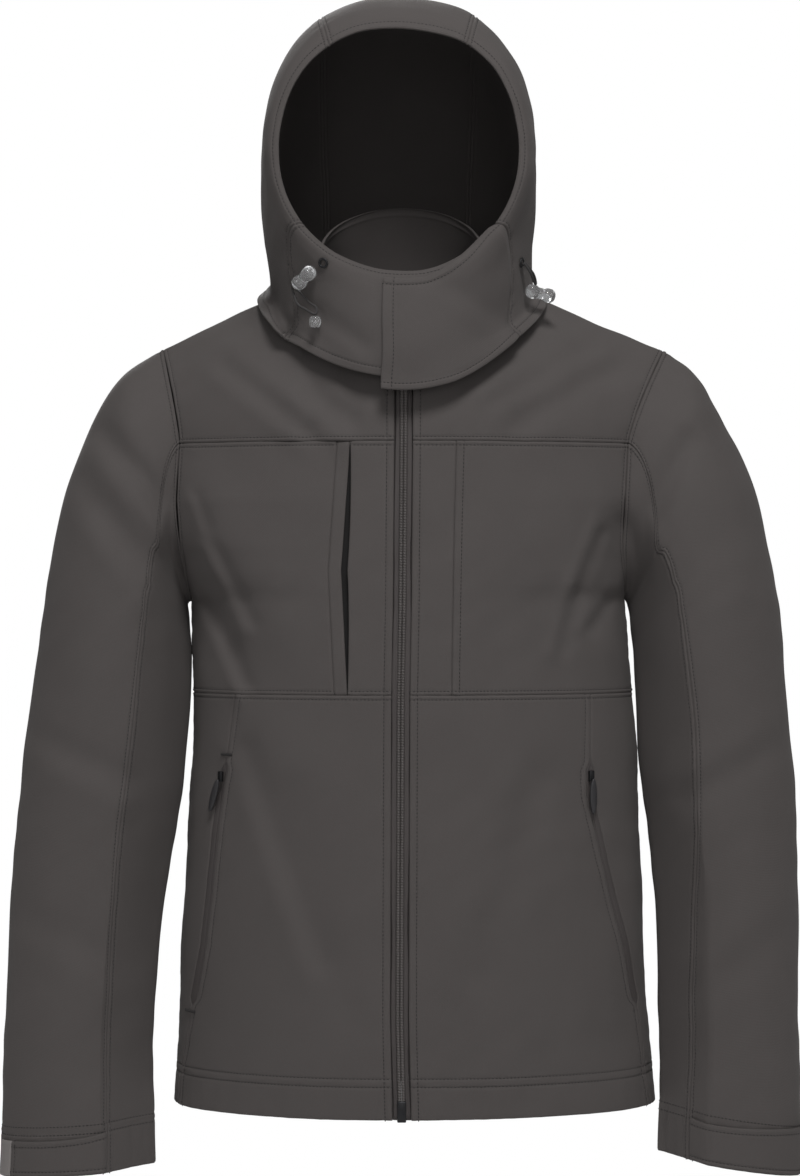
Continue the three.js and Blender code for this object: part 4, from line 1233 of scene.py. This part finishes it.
@dataclass
class Sleeves:
    """Upper and under sleeves with their cuff tabs."""

    form: JacketForm
    step: float = 4.3
    hem_lines: tuple[float, ...] = (36.0, 43.0)
    hem_reach: float = 1.4
    beside_seam: tuple[float, ...] = (3.6,)
    tab_lift: float = 2.8
    tab_rise: float = 0.13
    tabs: dict[Side, Triple] = field(
        default_factory=lambda: {Side.RIGHT: (12.27, 12.95, 0.34), Side.LEFT: (12.07, 12.95, 0.468)}
    )

    def heart(self, side: Side) -> Line:
        """Middle of the sleeve at each row.

        Args:
            side: wearer's side.
        Returns:
            Function from row shares to points.
        """
        table = self.form.sleeve_table(side)
        rows = np.linspace(0, 1, len(table))

        def middle(vs: Array) -> Array:
            """Middle of the sleeve at row shares."""
            pick = lambda a, b: np.interp(vs, rows, (table[:, a] + table[:, b]) / 2)
            return stack(pick(0, 2), pick(4, 4), pick(1, 3))

        return middle

    def sleeve_surface(self, side: Side, upper: bool) -> Surface:
        """Surface of one sleeve piece.

        Args:
            side: wearer's side.
            upper: upper or under piece.
        Returns:
            Function from column and row shares to points.
        """
        rings = len(self.form.sleeves[side])

        def surface(us: Array, vs: Array) -> Array:
            """Point at column and row shares."""
            edge, near, _ = self.form.sleeve_columns(side, upper, 161)
            shares = np.linspace(0, 1, 161)
            flat = us[:, 0]
            columns = np.stack([np.interp(flat, shares, edge[:, k]) for k in range(3)], -1)
            ring = vs * rings if len(vs) > 1 else vs[0] * rings
            return self.form.sleeve(side, columns, np.interp(flat, shares, near), flat, ring)

        return surface

    def panels(self) -> list[Panel]:
        """All sleeve pieces and tabs.

        Returns:
            The panels, named as their nodes.
        """
        made = []
        top = Edge.TOPSTITCHED
        for side in Side:
            for upper in (True, False):
                kind, width, length = ("upper", 285, 700) if upper else ("under", 165, 580)
                vs = np.union1d(spaced(length, self.step, True, False),
                                1 - hem_rows(self.hem_lines, self.hem_reach, length))
                made.append(Panel(f"sleeve_{kind}_{side.tag}", self.sleeve_surface(side, upper),
                                  spaced(width, self.step, True, True), vs, self.heart(side),
                                  (top, top, top, Edge.HEM),
                                  {0: self.beside_seam, 2: self.beside_seam, 3: self.hem_lines}))
            made += self.tab(side)
        return made

    def tab(self, side: Side) -> list[Panel]:
        """Cuff tab and its lighter end.

        Args:
            side: wearer's side.
        Returns:
            Two panels.
        """
        base = self.sleeve_surface(side, True)
        rings = len(self.form.sleeves[side])
        low, high, end = self.tabs[side]
        middle = lambda vs: self.heart(side)(np.ones_like(vs))

        def part(name: str, start: float, stop: float, lines: Lines) -> Panel:
            """Panel over a part of the sleeve, between two shares."""
            def surface(us: Array, vs: Array) -> Array:
                """Point at column and row shares."""
                share = mix(start, stop, us)
                top = low - self.tab_rise * np.exp(-share / 0.08)
                return base(share, mix(top, high, vs) / rings)

            return Panel(name, surface, spaced(abs(stop - start) * 285, 4.0, True, True),
                         spaced((high - low) * 44, 3.4, True, True), middle, (Edge.FREE,) * 4, lines,
                         lift=self.tab_lift)

        return [part(f"cuff_tab_{side.tag}", 0.01, end, {2: (5.0,), 3: (3.6,), 1: (3.6,)}),
                part(f"cuff_tab_end_{side.tag}", end + 0.005, end + 0.085, {})]


@dataclass
class Hood:
    """Hood panels, the flap of its throat latch and the collar inside."""

    form: JacketForm
    step: float = 4.3
    right_crown: float = -149.0
    left_crown: float = 150.0
    chin_seam: float = 52.0
    chin_under: float = 44.0
    last_row: float = 8.0
    flap_tip: float = -8.0
    opening_line: float = 6.0
    loose_line: float = 7.0
    length: float = 430.0
    beside_seam: tuple[float, ...] = (3.6,)

    def centre(self, vs: Array) -> Array:
        """Middle of the hood."""
        return stack(self.form.hood_middle, 0.0, np.full_like(vs, 60.0))

    def part(self, name: str, start: float, end: float, width: float, sewn: Sewn) -> Panel:
        """Hood panel between two angles.

        Args:
            name: node name.
            start: first angle, degrees.
            end: last angle, degrees.
            width: rough width, mm.
            sewn: how its edges end.
        Returns:
            The panel.
        """
        surface = lambda us, vs: self.form.hood(mix(start, end, us), self.last_row * vs)
        lines = {k: self.beside_seam for k in (0, 1) if sewn[k] is Edge.TOPSTITCHED}
        lines |= {2: (self.opening_line,), 3: (self.loose_line,)}
        return Panel(name, surface, spaced(width, self.step, True, True),
                     spaced(self.length, self.step, True, True), self.centre, sewn, lines)

    def flap(self) -> Panel:
        """Throat flap over the chin.

        Returns:
            The panel.
        """
        angle = lambda us: mix(self.flap_tip, self.chin_seam, us)
        top = lambda degrees: 1.3 * np.clip((self.chin_under - degrees) / 34, 0, 1)
        foot = lambda degrees: self.last_row + np.clip((self.chin_seam - degrees) / 32, 0, 1)
        surface = lambda us, vs: self.form.hood(angle(us), mix(top(angle(us)), foot(angle(us)), vs))
        lift = lambda us, vs: 3.6 * np.clip((self.chin_seam - angle(us)) / 4, 0, 1) + 0 * vs
        return Panel("hood_flap_l", surface, spaced(130, self.step, True, True), spaced(125, 4.2, True, True),
                     self.centre, (Edge.FREE, Edge.TOPSTITCHED, Edge.FREE, Edge.FREE),
                     {0: (9.0,), 2: (5.5,), 3: (5.5,)}, lift=lift)

    def collar(self) -> Panel:
        """Stand collar inside the hood.

        Returns:
            The panel.
        """
        form = self.form
        gap = math.degrees(math.asin((form.zip_half + form.seam) / form.neck[0]))

        def surface(us: Array, vs: Array) -> Array:
            """Point at column and row shares."""
            turn = gap + (360 - 2 * gap) * us
            front = np.minimum(turn, 360 - turn)
            way = np.where(turn <= 180, 1.0, -1.0)
            opened = front + 5 * vs * np.clip((90 - front) / 85, 0, 1)
            x_turn = np.radians(np.where(front <= 90, front, 180 - front))
            left, right = (
                np.where((front <= 90)[..., None], form.neckline(side, Face.FRONT, x_turn),
                         form.neckline(side, Face.BACK, x_turn)) for side in (Side.LEFT, Side.RIGHT))
            base = np.where((way > 0)[..., None], left, right)
            base[..., 2] += 1.7
            high = form.loop(form.collar_rows, way * opened, 3 * vs, 1.0)
            return np.where(np.broadcast_to(vs < 1e-9, high.shape[:2])[..., None], base, high)

        return Panel("collar", surface, spaced(500, 5.5, True, True), spaced(60, 5.0, True, True),
                     self.centre, (Edge.FREE, Edge.FREE, Edge.SEAM, Edge.FREE), {3: (6.0,)})

    def panels(self) -> list[Panel]:
        """All panels of the hood.

        Returns:
            The panels, named as their nodes.
        """
        top, seam, free = Edge.TOPSTITCHED, Edge.SEAM, Edge.FREE
        return [
            self.part("hood_centre", self.left_crown, 360 + self.right_crown, 190, (top, top, free, free)),
            self.part("hood_side_r", self.right_crown, -self.chin_seam, 230, (top, top, free, free)),
            self.part("hood_side_l", self.chin_seam, self.left_crown, 230, (top, top, free, free)),
            self.part("hood_chin_r", -self.chin_seam, self.chin_under, 190, (top, free, free, free)),
            self.flap(),
            self.collar(),
        ]


def solid(name: str, corners: Array, faces: Sequence[Sequence[int]], material: Material,
          bevel: float = 0.0) -> Piece:
    """Closed mesh from corners in mm.

    Args:
        name: object name.
        corners: corner points, mm.
        faces: corner numbers of each face.
        material: finish.
        bevel: rounding of all edges, mm.
    Returns:
        The object.
    """
    mesh = bpy.data.meshes.new(name)
    mesh.from_pydata((np.asarray(corners) * MM).tolist(), [], [list(face) for face in faces])
    work = bmesh.new()
    work.from_mesh(mesh)
    bmesh.ops.recalc_face_normals(work, faces=work.faces)
    if bevel:
        sharp = [edge for edge in work.edges if edge.calc_face_angle(0.0) > 0.5]
        bmesh.ops.bevel(work, geom=sharp, offset=bevel * MM, segments=3, profile=0.5, affect="EDGES")
    work.to_mesh(mesh)
    work.free()
    smooth(mesh)
    mesh.materials.append(material)
    return placed(f"{name}_fine", mesh)


def square_to(axis: Array) -> tuple[Array, Array]:
    """Two directions square to an axis and to each other."""
    first = unit(np.cross(axis, (0.0, 0.0, 1.0) if abs(axis[2]) < 0.9 else (1.0, 0.0, 0.0)))
    return first, np.cross(axis, first)


def ring_faces(count: int, sides: int, looped: bool = False) -> list[tuple[int, ...]]:
    """Faces between the corners of successive rings, with flat ends unless looped.

    Args:
        count: number of rings.
        sides: corners of a ring.
        looped: join the last ring to the first.
    Returns:
        Corner numbers of each face.
    """
    faces: list[tuple[int, ...]] = []
    for i in range(count if looped else count - 1):
        low, high = i * sides, (i + 1) % count * sides
        faces += [(low + k, low + (k + 1) % sides, high + (k + 1) % sides, high + k) for k in range(sides)]
    if not looped:
        faces += [tuple(range(sides)), tuple(range((count - 1) * sides, count * sides))]
    return faces


def rings(name: str, centres: Array, firsts: Array, seconds: Array, radii: Array, material: Material,
          looped: bool = False, sides: int = 28) -> Piece:
    """Skin through a row of rings.

    Args:
        name: object name.
        centres: ring centres, mm.
        firsts: first direction of each ring.
        seconds: second direction of each ring.
        radii: radius of each ring, mm.
        material: finish.
        looped: join the last ring to the first.
        sides: corners of a ring.
    Returns:
        The object.
    """
    angle = np.linspace(0, 2 * np.pi, sides, endpoint=False)
    circle = np.cos(angle)[None, :, None] * firsts[:, None] + np.sin(angle)[None, :, None] * seconds[:, None]
    corners = (centres[:, None] + circle * radii[:, None, None]).reshape(-1, 3)
    return solid(name, corners, ring_faces(len(centres), sides, looped), material)


def turned(name: str, middle: Array, axis: Array, profile: Rows, material: Material,
           looped: bool = False) -> Piece:
    """Turned part.

    Args:
        name: object name.
        middle: origin of the profile, mm.
        axis: unit vector.
        profile: distance along the axis and radius of each ring, mm.
        material: finish.
        looped: a ring with a hole.
    Returns:
        The object.
    """
    table = np.asarray(profile, float)
    first, second = square_to(axis)
    centres = middle + table[:, :1] * axis
    same = np.ones((len(table), 1))
    return rings(name, centres, same * first, same * second, table[:, 1], material, looped)


def through(points: Array, step: float) -> Array:
    """Smooth line through points.

    Args:
        points: points in mm.
        step: spacing, mm.
    Returns:
        Evenly spaced points.
    """
    at = np.linspace(0, len(points) - 1, 60 * len(points))
    fine = np.stack([smooth_row(points, k, at) for k in range(3)], -1)
    way = np.concatenate([[0], np.cumsum(steps(fine))])
    even = np.linspace(0, way[-1], max(int(way[-1] / step), 4) + 1)
    return np.stack([np.interp(even, way, fine[:, k]) for k in range(3)], -1)


def tube(name: str, path: Array, radius: float, material: Material) -> Piece:
    """Round cord along a path.

    Args:
        name: object name.
        path: evenly spaced points, mm.
        radius: radius, mm.
        material: finish.
    Returns:
        The object.
    """
    tangent = unit(np.gradient(path, axis=0))
    first = square_to(tangent[0])[0]
    firsts = []
    for way in tangent:
        first = unit(first - way * (first @ way))
        firsts.append(first)
    firsts = np.array(firsts)
    seconds, radii = np.cross(tangent, firsts), np.full(len(path), radius)
    return rings(name, path, firsts, seconds, radii, material, sides=14)


@dataclass
class Closures:
    """Front zip and hand-pocket zips."""

    form: JacketForm
    low: float = -724.8
    high: float = -24.0
    chain_low: float = -712.0
    chain_high: float = -48.0
    tape_in: float = 1.6
    tape_wall: float = 1.2
    tape_half: float = 11.0
    coil_half: float = 1.6
    pocket_low: float = -637.0
    pocket_high: float = -423.0
    tack_half: float = 4.6
    tack_gap: float = 5.0
    # level, distance in front of the cloth, and sizes of the blocks on the front zip
    blocks: dict[str, tuple[float, ...]] = field(
        default_factory=lambda: {"zip_box": (-717.4, 0.6, 7.6, 3.2, 18),
                                 "zip_slider": (-40.6, 0.9, 9, 3.4, 14)})
    pull_size: Triple = (7.0, 30.0, 2.2)
    pull_turn: dict[Side, float] = field(default_factory=lambda: {Side.RIGHT: 0.38, Side.LEFT: 0.0})
    pull_z: dict[Side, float] = field(default_factory=lambda: {Side.RIGHT: -437.0, Side.LEFT: -436.0})

    def middle(self, z: Array, off: Array = 0.0, back: Array = 0.0) -> Array:
        """Point of the front zip."""
        return stack(level(self.form.middle_rows, 1, z) + off, self.form.middle_depth(z) + back, z)

    def tapes(self) -> list[Panel]:
        """The two zip tapes.

        Returns:
            The panels.
        """
        made = []
        for side in Side:
            surface = lambda us, vs, way=side.value: self.middle(
                mix(self.low, self.high, vs), way * mix(0.03, self.tape_half, us),
                self.tape_in + 2.4 * np.clip(mix(0.03, self.tape_half, us) - 7.2, 0, 1))
            bead = lambda points, across, along: (
                0.5 * np.exp(-(((across - 3.9) / 0.6) ** 2)) - 0.3 * (across < 3.0))
            made.append(Panel(f"zip_tape_{side.tag}", surface, np.linspace(0, 1, 23),
                              spaced(698, 5, False, False),
                              lambda vs: self.form.axis(mix(self.low, self.high, vs)), (Edge.PLAIN,) * 4, {},
                              wall=self.tape_wall, relief=bead))
        return made

    def coil(self) -> list[StitchLine]:
        """Lines on which the teeth sit.

        Returns:
            One line for each side of the coil.
        """
        z = np.linspace(self.chain_low, self.chain_high, 400)
        lines = []
        for off in (-self.coil_half, self.coil_half):
            points = self.middle(z, off, 0.1)
            lines.append(StitchLine(points, stack(0 * z, -1 + 0 * z, 0 * z)))
        return lines

    def pocket_point(self, side: Side, z: Array, off: Array) -> Array:
        """Point on the hand-pocket seam.

        Args:
            side: wearer's side.
            z: level.
            off: offset across, mm.
        Returns:
            Points in mm.
        """
        z, off = np.broadcast_arrays(np.asarray(z, float), np.asarray(off, float))
        x = level(self.form.pocket_rows, side.column, z) + off
        return self.form.torso(side, Face.FRONT, z, self.form.share_at(side, z, x))

    def bartacks(self) -> list[StitchLine]:
        """Short dense rows that lock the ends of the hand-pocket openings.

        Returns:
            One line for each end.
        """
        off = np.linspace(-self.tack_half, self.tack_half, 13)
        lines = []
        for side in Side:
            for z in (self.pocket_high + self.tack_gap, self.pocket_low - self.tack_gap):
                points = self.pocket_point(side, z, off)
                along = unit(points[1:] - points[:-1])[0]
                out = np.array([along[1], -along[0], 0.0])
                out = out if out[1] < 0 else -out
                lines.append(StitchLine(points, np.broadcast_to(out, points.shape)))
        return lines

    def pocket_zip(self, side: Side) -> Panel:
        """Covered pocket zip: two lips that meet in the middle.

        Args:
            side: wearer's side.
        Returns:
            The panel.
        """
        half = self.form.slot_half - 0.15
        height = lambda vs: mix(self.pocket_low, self.pocket_high, vs)
        opened = lambda vs: level(self.form.slot_rows, 1, height(vs)) * 0.96 + 0.04
        surface = lambda us, vs: self.pocket_point(
            side, height(vs), side.value * opened(vs) * mix(-half, half, us))
        lips = lambda points, across, along: -0.55 * np.exp(-(((across - half) / 0.42) ** 2))
        return Panel(f"pocket_zip_{side.tag}", surface, np.linspace(0, 1, 13), spaced(214, 4, True, True),
                     lambda vs: self.form.axis(np.full_like(vs, -530.0)), (Edge.PLAIN,) * 4, {},
                     wall=self.tape_wall, lift=-0.5, relief=lips)

    def block(self, name: str, middle: Array, size: Sequence[float], turn: float,
              material: Material, bevel: float) -> Piece:
        """Rounded block.

        Args:
            name: object name.
            middle: centre, mm.
            size: sizes, mm.
            turn: turn about Z, radians.
            material: finish.
            bevel: rounding, mm.
        Returns:
            The object.
        """
        signs = np.array([(x, y, z) for x in (-1, 1) for y in (-1, 1) for z in (-1, 1)], float)
        corners = about_z(signs * np.array(size) / 2, turn) + middle
        faces = [(0, 1, 3, 2), (4, 6, 7, 5), (0, 4, 5, 1), (2, 3, 7, 6), (0, 2, 6, 4), (1, 5, 7, 3)]
        return solid(name, corners, faces, material, bevel)

    def pull(self, side: Side, material: Material, metal: Material) -> list[Piece]:
        """Slider and oval pull of a hand pocket.

        Args:
            side: wearer's side.
            material: finish of the pull.
            metal: finish of the slider.
        Returns:
            Slider and pull.
        """
        z = self.pull_z[side]
        slope = self.pocket_point(side, z, 1.0) - self.pocket_point(side, z, -1.0)
        facing = math.atan2(slope[1], slope[0])
        outward = np.array([math.sin(facing), -math.cos(facing), 0.0])
        seat = self.pocket_point(side, z, 0.0) + outward * 2.0
        slider = self.block(f"pocket_slider_{side.tag}", seat, (5, 3, 9), facing, metal, 0.7)
        wide, tall, wall = self.pull_size
        start = seat + outward * 2.9 + np.array([0, 0, -2.5])
        angle = np.linspace(0, 2 * np.pi, 36, endpoint=False)
        turn = self.pull_turn[side]
        layers = []
        for off, shrink in ((-0.5, 0.8), (-0.42, 0.93), (-0.25, 1.0), (0.25, 1.0), (0.42, 0.93), (0.5, 0.8)):
            x = np.sin(angle) * (wide / 2 - (1 - shrink) * 3)
            drop = np.cos(angle) * (tall / 2 - (1 - shrink) * 3) - tall / 2
            spun = about_z(stack(drop, x, off * wall), turn)
            layers.append(about_z(stack(spun[:, 1], spun[:, 2], spun[:, 0]), facing) + start)
        faces = ring_faces(len(layers), len(angle))
        return [slider, solid(f"pocket_pull_{side.tag}", np.concatenate(layers), faces, material)]


@dataclass
class Hardware:
    """Draw cords of the hood with their locks, cord end and eyelets."""

    form: JacketForm
    radius: float = 1.0
    inside: Triple = (2.0, 0.0, 60.0)
    # angle from the chin and ring number
    eyelets: dict[Side, tuple[float, float]] = field(
        default_factory=lambda: {Side.RIGHT: (-34, 2.0), Side.LEFT: (60.4, 4.05)}
    )
    lock_profile: Rows = (
        (-13, 0.6), (-13, 3.4), (-12.6, 4.3), (-11, 5.7), (-10, 6.1), (-6, 6.2), (-5, 6.0), (-3.6, 5.1),
        (-2.6, 4.9), (2.6, 4.9), (3.6, 5.1), (5, 6.0), (6, 6.2), (10, 6.1), (11, 5.7), (12.6, 4.3), (13, 3.4),
        (13, 0.6),
    )
    bead_profile: Rows = (
        (-4.8, 0.5), (-4.8, 3.0), (-4.2, 4.1), (-2.4, 5.0), (2.4, 5.0), (4.2, 4.1), (4.8, 3.0), (4.8, 0.5),
    )
    eyelet_profile: Rows = (
        (0.5, 2.45), (0.45, 4.5), (0.9, 4.6), (1.45, 4.1), (1.6, 3.4), (1.45, 2.8), (0.9, 2.4),
    )

    def out(self, degrees: float, row: float) -> Array:
        """Outward direction of the hood.

        Args:
            degrees: angle from the chin.
            row: ring number.
        Returns:
            Unit vector.
        """
        around = self.form.hood(degrees + 1, row) - self.form.hood(degrees - 1, row)
        along = self.form.hood(degrees, row + 0.05) - self.form.hood(degrees, row - 0.05)
        out = unit(np.cross(around, along))
        return out if out @ (self.form.hood(degrees, row) - np.array(self.inside)) > 0 else -out

    def over(self, degrees: float, row: float, height: float) -> Array:
        """Point held off the hood."""
        return self.form.hood(degrees, row) + self.out(degrees, row) * height

    def eyelet(self, side: Side, material: Material) -> Piece:
        """Metal eyelet of one side."""
        name, at, out = f"eyelet_{side.tag}", self.form.hood(*self.eyelets[side]), self.out(*self.eyelets[side])
        return turned(name, at, out, self.eyelet_profile, material, looped=True)

    def right(self) -> tuple[Array, Array, Array, Array]:
        """Places of the right lock, its axis, the cord end and the cord.

        Returns:
            Lock middle, lock axis, cord end middle and cord points.
        """
        top, foot = self.over(-36.5, 2.5, 7.2), self.over(-46, 4.05, 7.2)
        axis = unit(foot - top)
        middle = mix(top, foot, 0.5)
        bead = self.over(-37, 5.35, 7.5)
        end = middle + axis * 16.4
        low = bead + np.array([0, 0, 6.6])
        x, drop = np.array([1.0, 0, 0]), np.array([0, 0, -3.0])
        points = [end - 1.6 * x, mix(end, low, 0.45) - 5.5 * x + drop, mix(end, low, 0.8) - 5 * x, low,
                  mix(end, low, 0.75) + 5.5 * x, mix(end, low, 0.4) + 5.5 * x + drop, end + 1.8 * x]
        return middle, axis, bead, np.array(points)

    def left(self) -> tuple[Array, Array, Array]:
        """Places of the left lock, its axis and the cord.

        Returns:
            Lock middle, lock axis and cord points.
        """
        lock = self.over(66, 5.4, 14.0)
        axis = unit(np.array([0.9, 0.38, -0.2]))
        place = self.eyelets[Side.LEFT]
        out, hole = self.out(*place), self.over(*place, 2.7)
        side = lock + np.array([0, 0, 8.1]) - 5 * axis
        apart = unit(np.cross(out, (0.0, 0.0, 1.0)))
        points = [hole - 1.5 * apart, mix(hole, side, 0.5) - 3.4 * apart + 2 * out, side - 2.2 * apart,
                  side + 2.2 * apart, mix(hole, side, 0.5) + 3.4 * apart + 2 * out, hole + 1.5 * apart]
        return lock, axis, np.array(points)


@dataclass
class Studio:
    """Camera, floor and lights."""

    distance: float = 3.0
    eye: float = -0.275
    lens: float = 104.35
    floor: float = -1.1
    floor_half: float = 1.7
    ambient: float = 0.2
    # name, position in metres, height aimed at, width in metres, watts
    lights: tuple[tuple[str, Triple, float, float, float], ...] = (
        ("key", (0.25, -2.0, 2.2), -0.3, 1.0, 74),
        ("front", (0.0, -3.2, 0.2), -0.3, 1.2, 11),
        ("left_box", (-2.2, -1.3, 0.4), -0.4, 1.0, 6),
        ("right_box", (2.2, -1.3, 0.4), -0.4, 1.0, 5),
        ("rim", (0.0, 1.2, 2.2), -0.1, 1.6, 4),
        ("back_key", (-0.6, 3.0, 1.6), -0.3, 1.2, 60),
    )

    def area(self, name: str, place: Triple, aim: Triple, size: float, power: float) -> None:
        """Soft area light.

        Args:
            name: light name.
            place: position in metres.
            aim: point it looks at.
            size: width in metres.
            power: watts.
        """
        light = bpy.data.lights.new(name, "AREA")
        light.shape, light.size, light.energy = "DISK", size, power
        made = placed(name, light)
        made.visible_camera = False
        made.location = place
        made.rotation_euler = (Vector(aim) - Vector(place)).to_track_quat("-Z", "Y").to_euler()

    def world(self) -> bpy.types.World:
        """White surround that lights the jacket only a little.

        Returns:
            The world.
        """
        made = bpy.data.worlds.new("studio")
        made.use_nodes = True
        make = NodeTree(made.node_tree)
        white = (1.0, 1.0, 1.0, 1.0)
        ambient = made.node_tree.nodes["Background"]
        make.fill(ambient, Color=white, Strength=self.ambient)
        seen = make.add("ShaderNodeBackground", Color=white, Strength=1.0)
        camera_ray = make.add("ShaderNodeLightPath").outputs["Is Camera Ray"]
        pick = make.add("ShaderNodeMixShader")
        for socket, value in zip(pick.inputs, (camera_ray, ambient.outputs[0], seen.outputs[0])):
            make.put(socket, value)
        make.fill(made.node_tree.nodes["World Output"], Surface=pick.outputs["Shader"])
        return made

    def build(self) -> None:
        """Sets up the shot."""
        scene = bpy.context.scene
        for name in ("Cube", "Light", "Camera"):
            if name in bpy.data.objects:
                bpy.data.objects.remove(bpy.data.objects[name])
        view = bpy.data.cameras.new("camera")
        view.sensor_fit, view.sensor_height, view.lens = "VERTICAL", 36.0, self.lens
        camera = placed("camera", view)
        camera.location = (0.0, -self.distance, self.eye)
        camera.rotation_euler = (math.pi / 2, 0.0, 0.0)
        scene.camera = camera
        scene.world = self.world()
        scene.view_settings.view_transform = "Standard"
        paper = PlainFinish("paper", (0.8, 0.8, 0.8), roughness=0.9).material()
        mesh = bpy.data.meshes.new("floor")
        half = self.floor_half
        corners = [(-half, -half), (half, -half), (half, half), (-half, half)]
        mesh.from_pydata([(x, y, self.floor) for x, y in corners], [], [(0, 1, 2, 3)])
        mesh.materials.append(paper)
        placed("floor", mesh)
        for name, place, aim_z, size, power in self.lights:
            self.area(name, place, (0, 0, aim_z), size, power)


@dataclass
class Jacket:
    """Sews the panels and ties every piece to the CAD frame."""

    # thread finish darkened as painted shade along the stitch rows
    thread: Material
    stitch: Repeater = Repeater("stitches", 3.2, (2.3, 0.95, 0.8))
    tack: Repeater = Repeater("bartacks", 0.75, (0.6, 2.8, 0.9))
    tooth: Repeater = Repeater("zip_teeth", 1.35, (1.0, 3.4, 1.7), turn=0.12)

    def settle(self, piece: Piece, slot: str, body: str = "garment", node: str | None = None) -> None:
        """Ties a piece to the frame.

        Args:
            piece: the finished object.
            slot: not used.
            body: body it moves with.
            node: CAD node it stands for.
        """
        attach(piece, body)
        if node:
            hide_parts(node)
        log.info("%s: %d faces", piece.name, len(piece.data.polygons))

    @staticmethod
    def cut(panel: Panel) -> tuple[tuple[float, float], float]:
        """Flat size of a panel's cut.

        Args:
            panel: the panel.
        Returns:
            Width and length in metres, and the area in square metres.
        """
        points = panel.grid()[0]
        across, along = steps(points, 0).sum(0).max(), steps(points, 1).sum(1).max()
        a, b = points[1:, 1:] - points[:-1, :-1], points[:-1, 1:] - points[1:, :-1]
        area = float(np.linalg.norm(np.cross(a, b), axis=-1).sum() / 2) * MM * MM
        flat = (float(across) * MM, float(along) * MM)
        return flat, max(min(area, flat[0] * flat[1]), 0.31 * flat[0] * flat[1])

    def sew(self, panels: Sequence[Panel], material: Material, slot: str, name: str) -> None:
        """Builds panels and the stitches on them.

        Args:
            panels: the panels.
            material: cloth finish.
            slot: material slot of the record.
            name: name of the stitches' piece.
        """
        lines: list[StitchLine] = []
        for panel in panels:
            piece, found = panel.build(material)
            self.settle(piece, slot, node=panel.name)
            flat, area = self.cut(panel)
            min(flat) > 0.01
            log.info("%s: flat %.0f x %.0f mm, %.0f cm2", panel.name, flat[0] / MM, flat[1] / MM, area * 1e4)
            lines += found
        if lines:
            self.settle(replace(self.stitch, name=name).build(lines, self.thread), slot)

    def lay(self, name: str, line: Array, radius: float, material: Material) -> None:
        """Lays a free cord.

        Args:
            name: node name.
            line: points it runs through, mm.
            radius: radius, mm.
            material: finish.
        """
        path = through(line, 1.0)
        piece = tube(name, path, radius, material)
        self.settle(piece, "cord", node=name)
        length = float(steps(path).sum()) * MM
        log.info("%s: %.1f mm long", name, length / MM)


def main() -> None:
    """Builds the jacket and the shot."""
    logging.basicConfig(level=logging.INFO, format="%(name)s: %(message)s")
    form = JacketForm()
    cloth = ClothFinish().material(weave_group())
    plain = {finish.name: finish.material() for finish in PLAIN_FINISHES}
    thread, metal, clear = plain["thread"], plain["dark_metal"], plain["clear_plastic"]
    jacket, closures, hardware = Jacket(thread), Closures(form), Hardware(form)

    torso, sleeves = Torso(form).panels(), Sleeves(form).panels()
    inside = [panel for panel in torso if "pocket_back" in panel.name]
    ends = [panel for panel in sleeves if "tab_end" in panel.name]
    zips = closures.tapes() + [closures.pocket_zip(side) for side in Side]
    for panels, material, slot, name in (
        ([panel for panel in torso if panel not in inside], cloth, "shell_cloth", "torso_stitches"),
        # the chest pocket back takes the near-black finish, painted shade in the opening
        (inside, plain["pocket_lining"], "shell_cloth", "pocket_stitches"),
        ([panel for panel in sleeves if panel not in ends], cloth, "shell_cloth", "sleeve_stitches"),
        (ends, plain["tab_end"], "tab_end", "tab_end_stitches"),
        (Hood(form).panels(), cloth, "shell_cloth", "hood_stitches"),
        (zips, plain["zip_tape"], "zip_tape", "tape_stitches"),
    ):
        jacket.sew(panels, material, slot, name)

    jacket.settle(jacket.tooth.build(closures.coil(), plain["zip_coil"]), "zip_chain", node="zip_chain")
    jacket.settle(jacket.tack.build(closures.bartacks(), thread), "shell_cloth")
    for name, (z, out, *size) in closures.blocks.items():
        at = closures.middle(np.array(z), 0.0, -out)
        jacket.settle(closures.block(name, at, size, 0.0, metal, 0.9), "dark_metal", node=name)
    for side in Side:
        slider, pull = closures.pull(side, plain["pull"], metal)
        jacket.settle(slider, "dark_metal", node=f"pocket_slider_{side.tag}")
        body = "pull_right" if side is Side.RIGHT else "pull_left"
        jacket.settle(pull, "pull", body, f"pocket_pull_{side.tag}")

    for side in Side:
        jacket.settle(hardware.eyelet(side, metal), "dark_metal", node=f"eyelet_{side.tag}")
    lock_r, axis_r, bead, cord_r = hardware.right()
    lock_l, axis_l, cord_l = hardware.left()
    for name, middle, axis, profile in (
        ("cord_lock_r", lock_r, axis_r, hardware.lock_profile),
        ("cord_end_r", bead, np.array([0, 0, 1.0]), hardware.bead_profile),
        ("cord_lock_l", lock_l, axis_l, hardware.lock_profile),
    ):
        jacket.settle(turned(name, middle, axis, profile, clear), "clear_plastic", node=name)
    for name, line in (("hood_cord_r", cord_r), ("hood_cord_l", cord_l)):
        jacket.lay(name, line, hardware.radius, plain["cord"])

    Studio().build()
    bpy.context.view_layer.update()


if __name__ == "__main__":
    main()
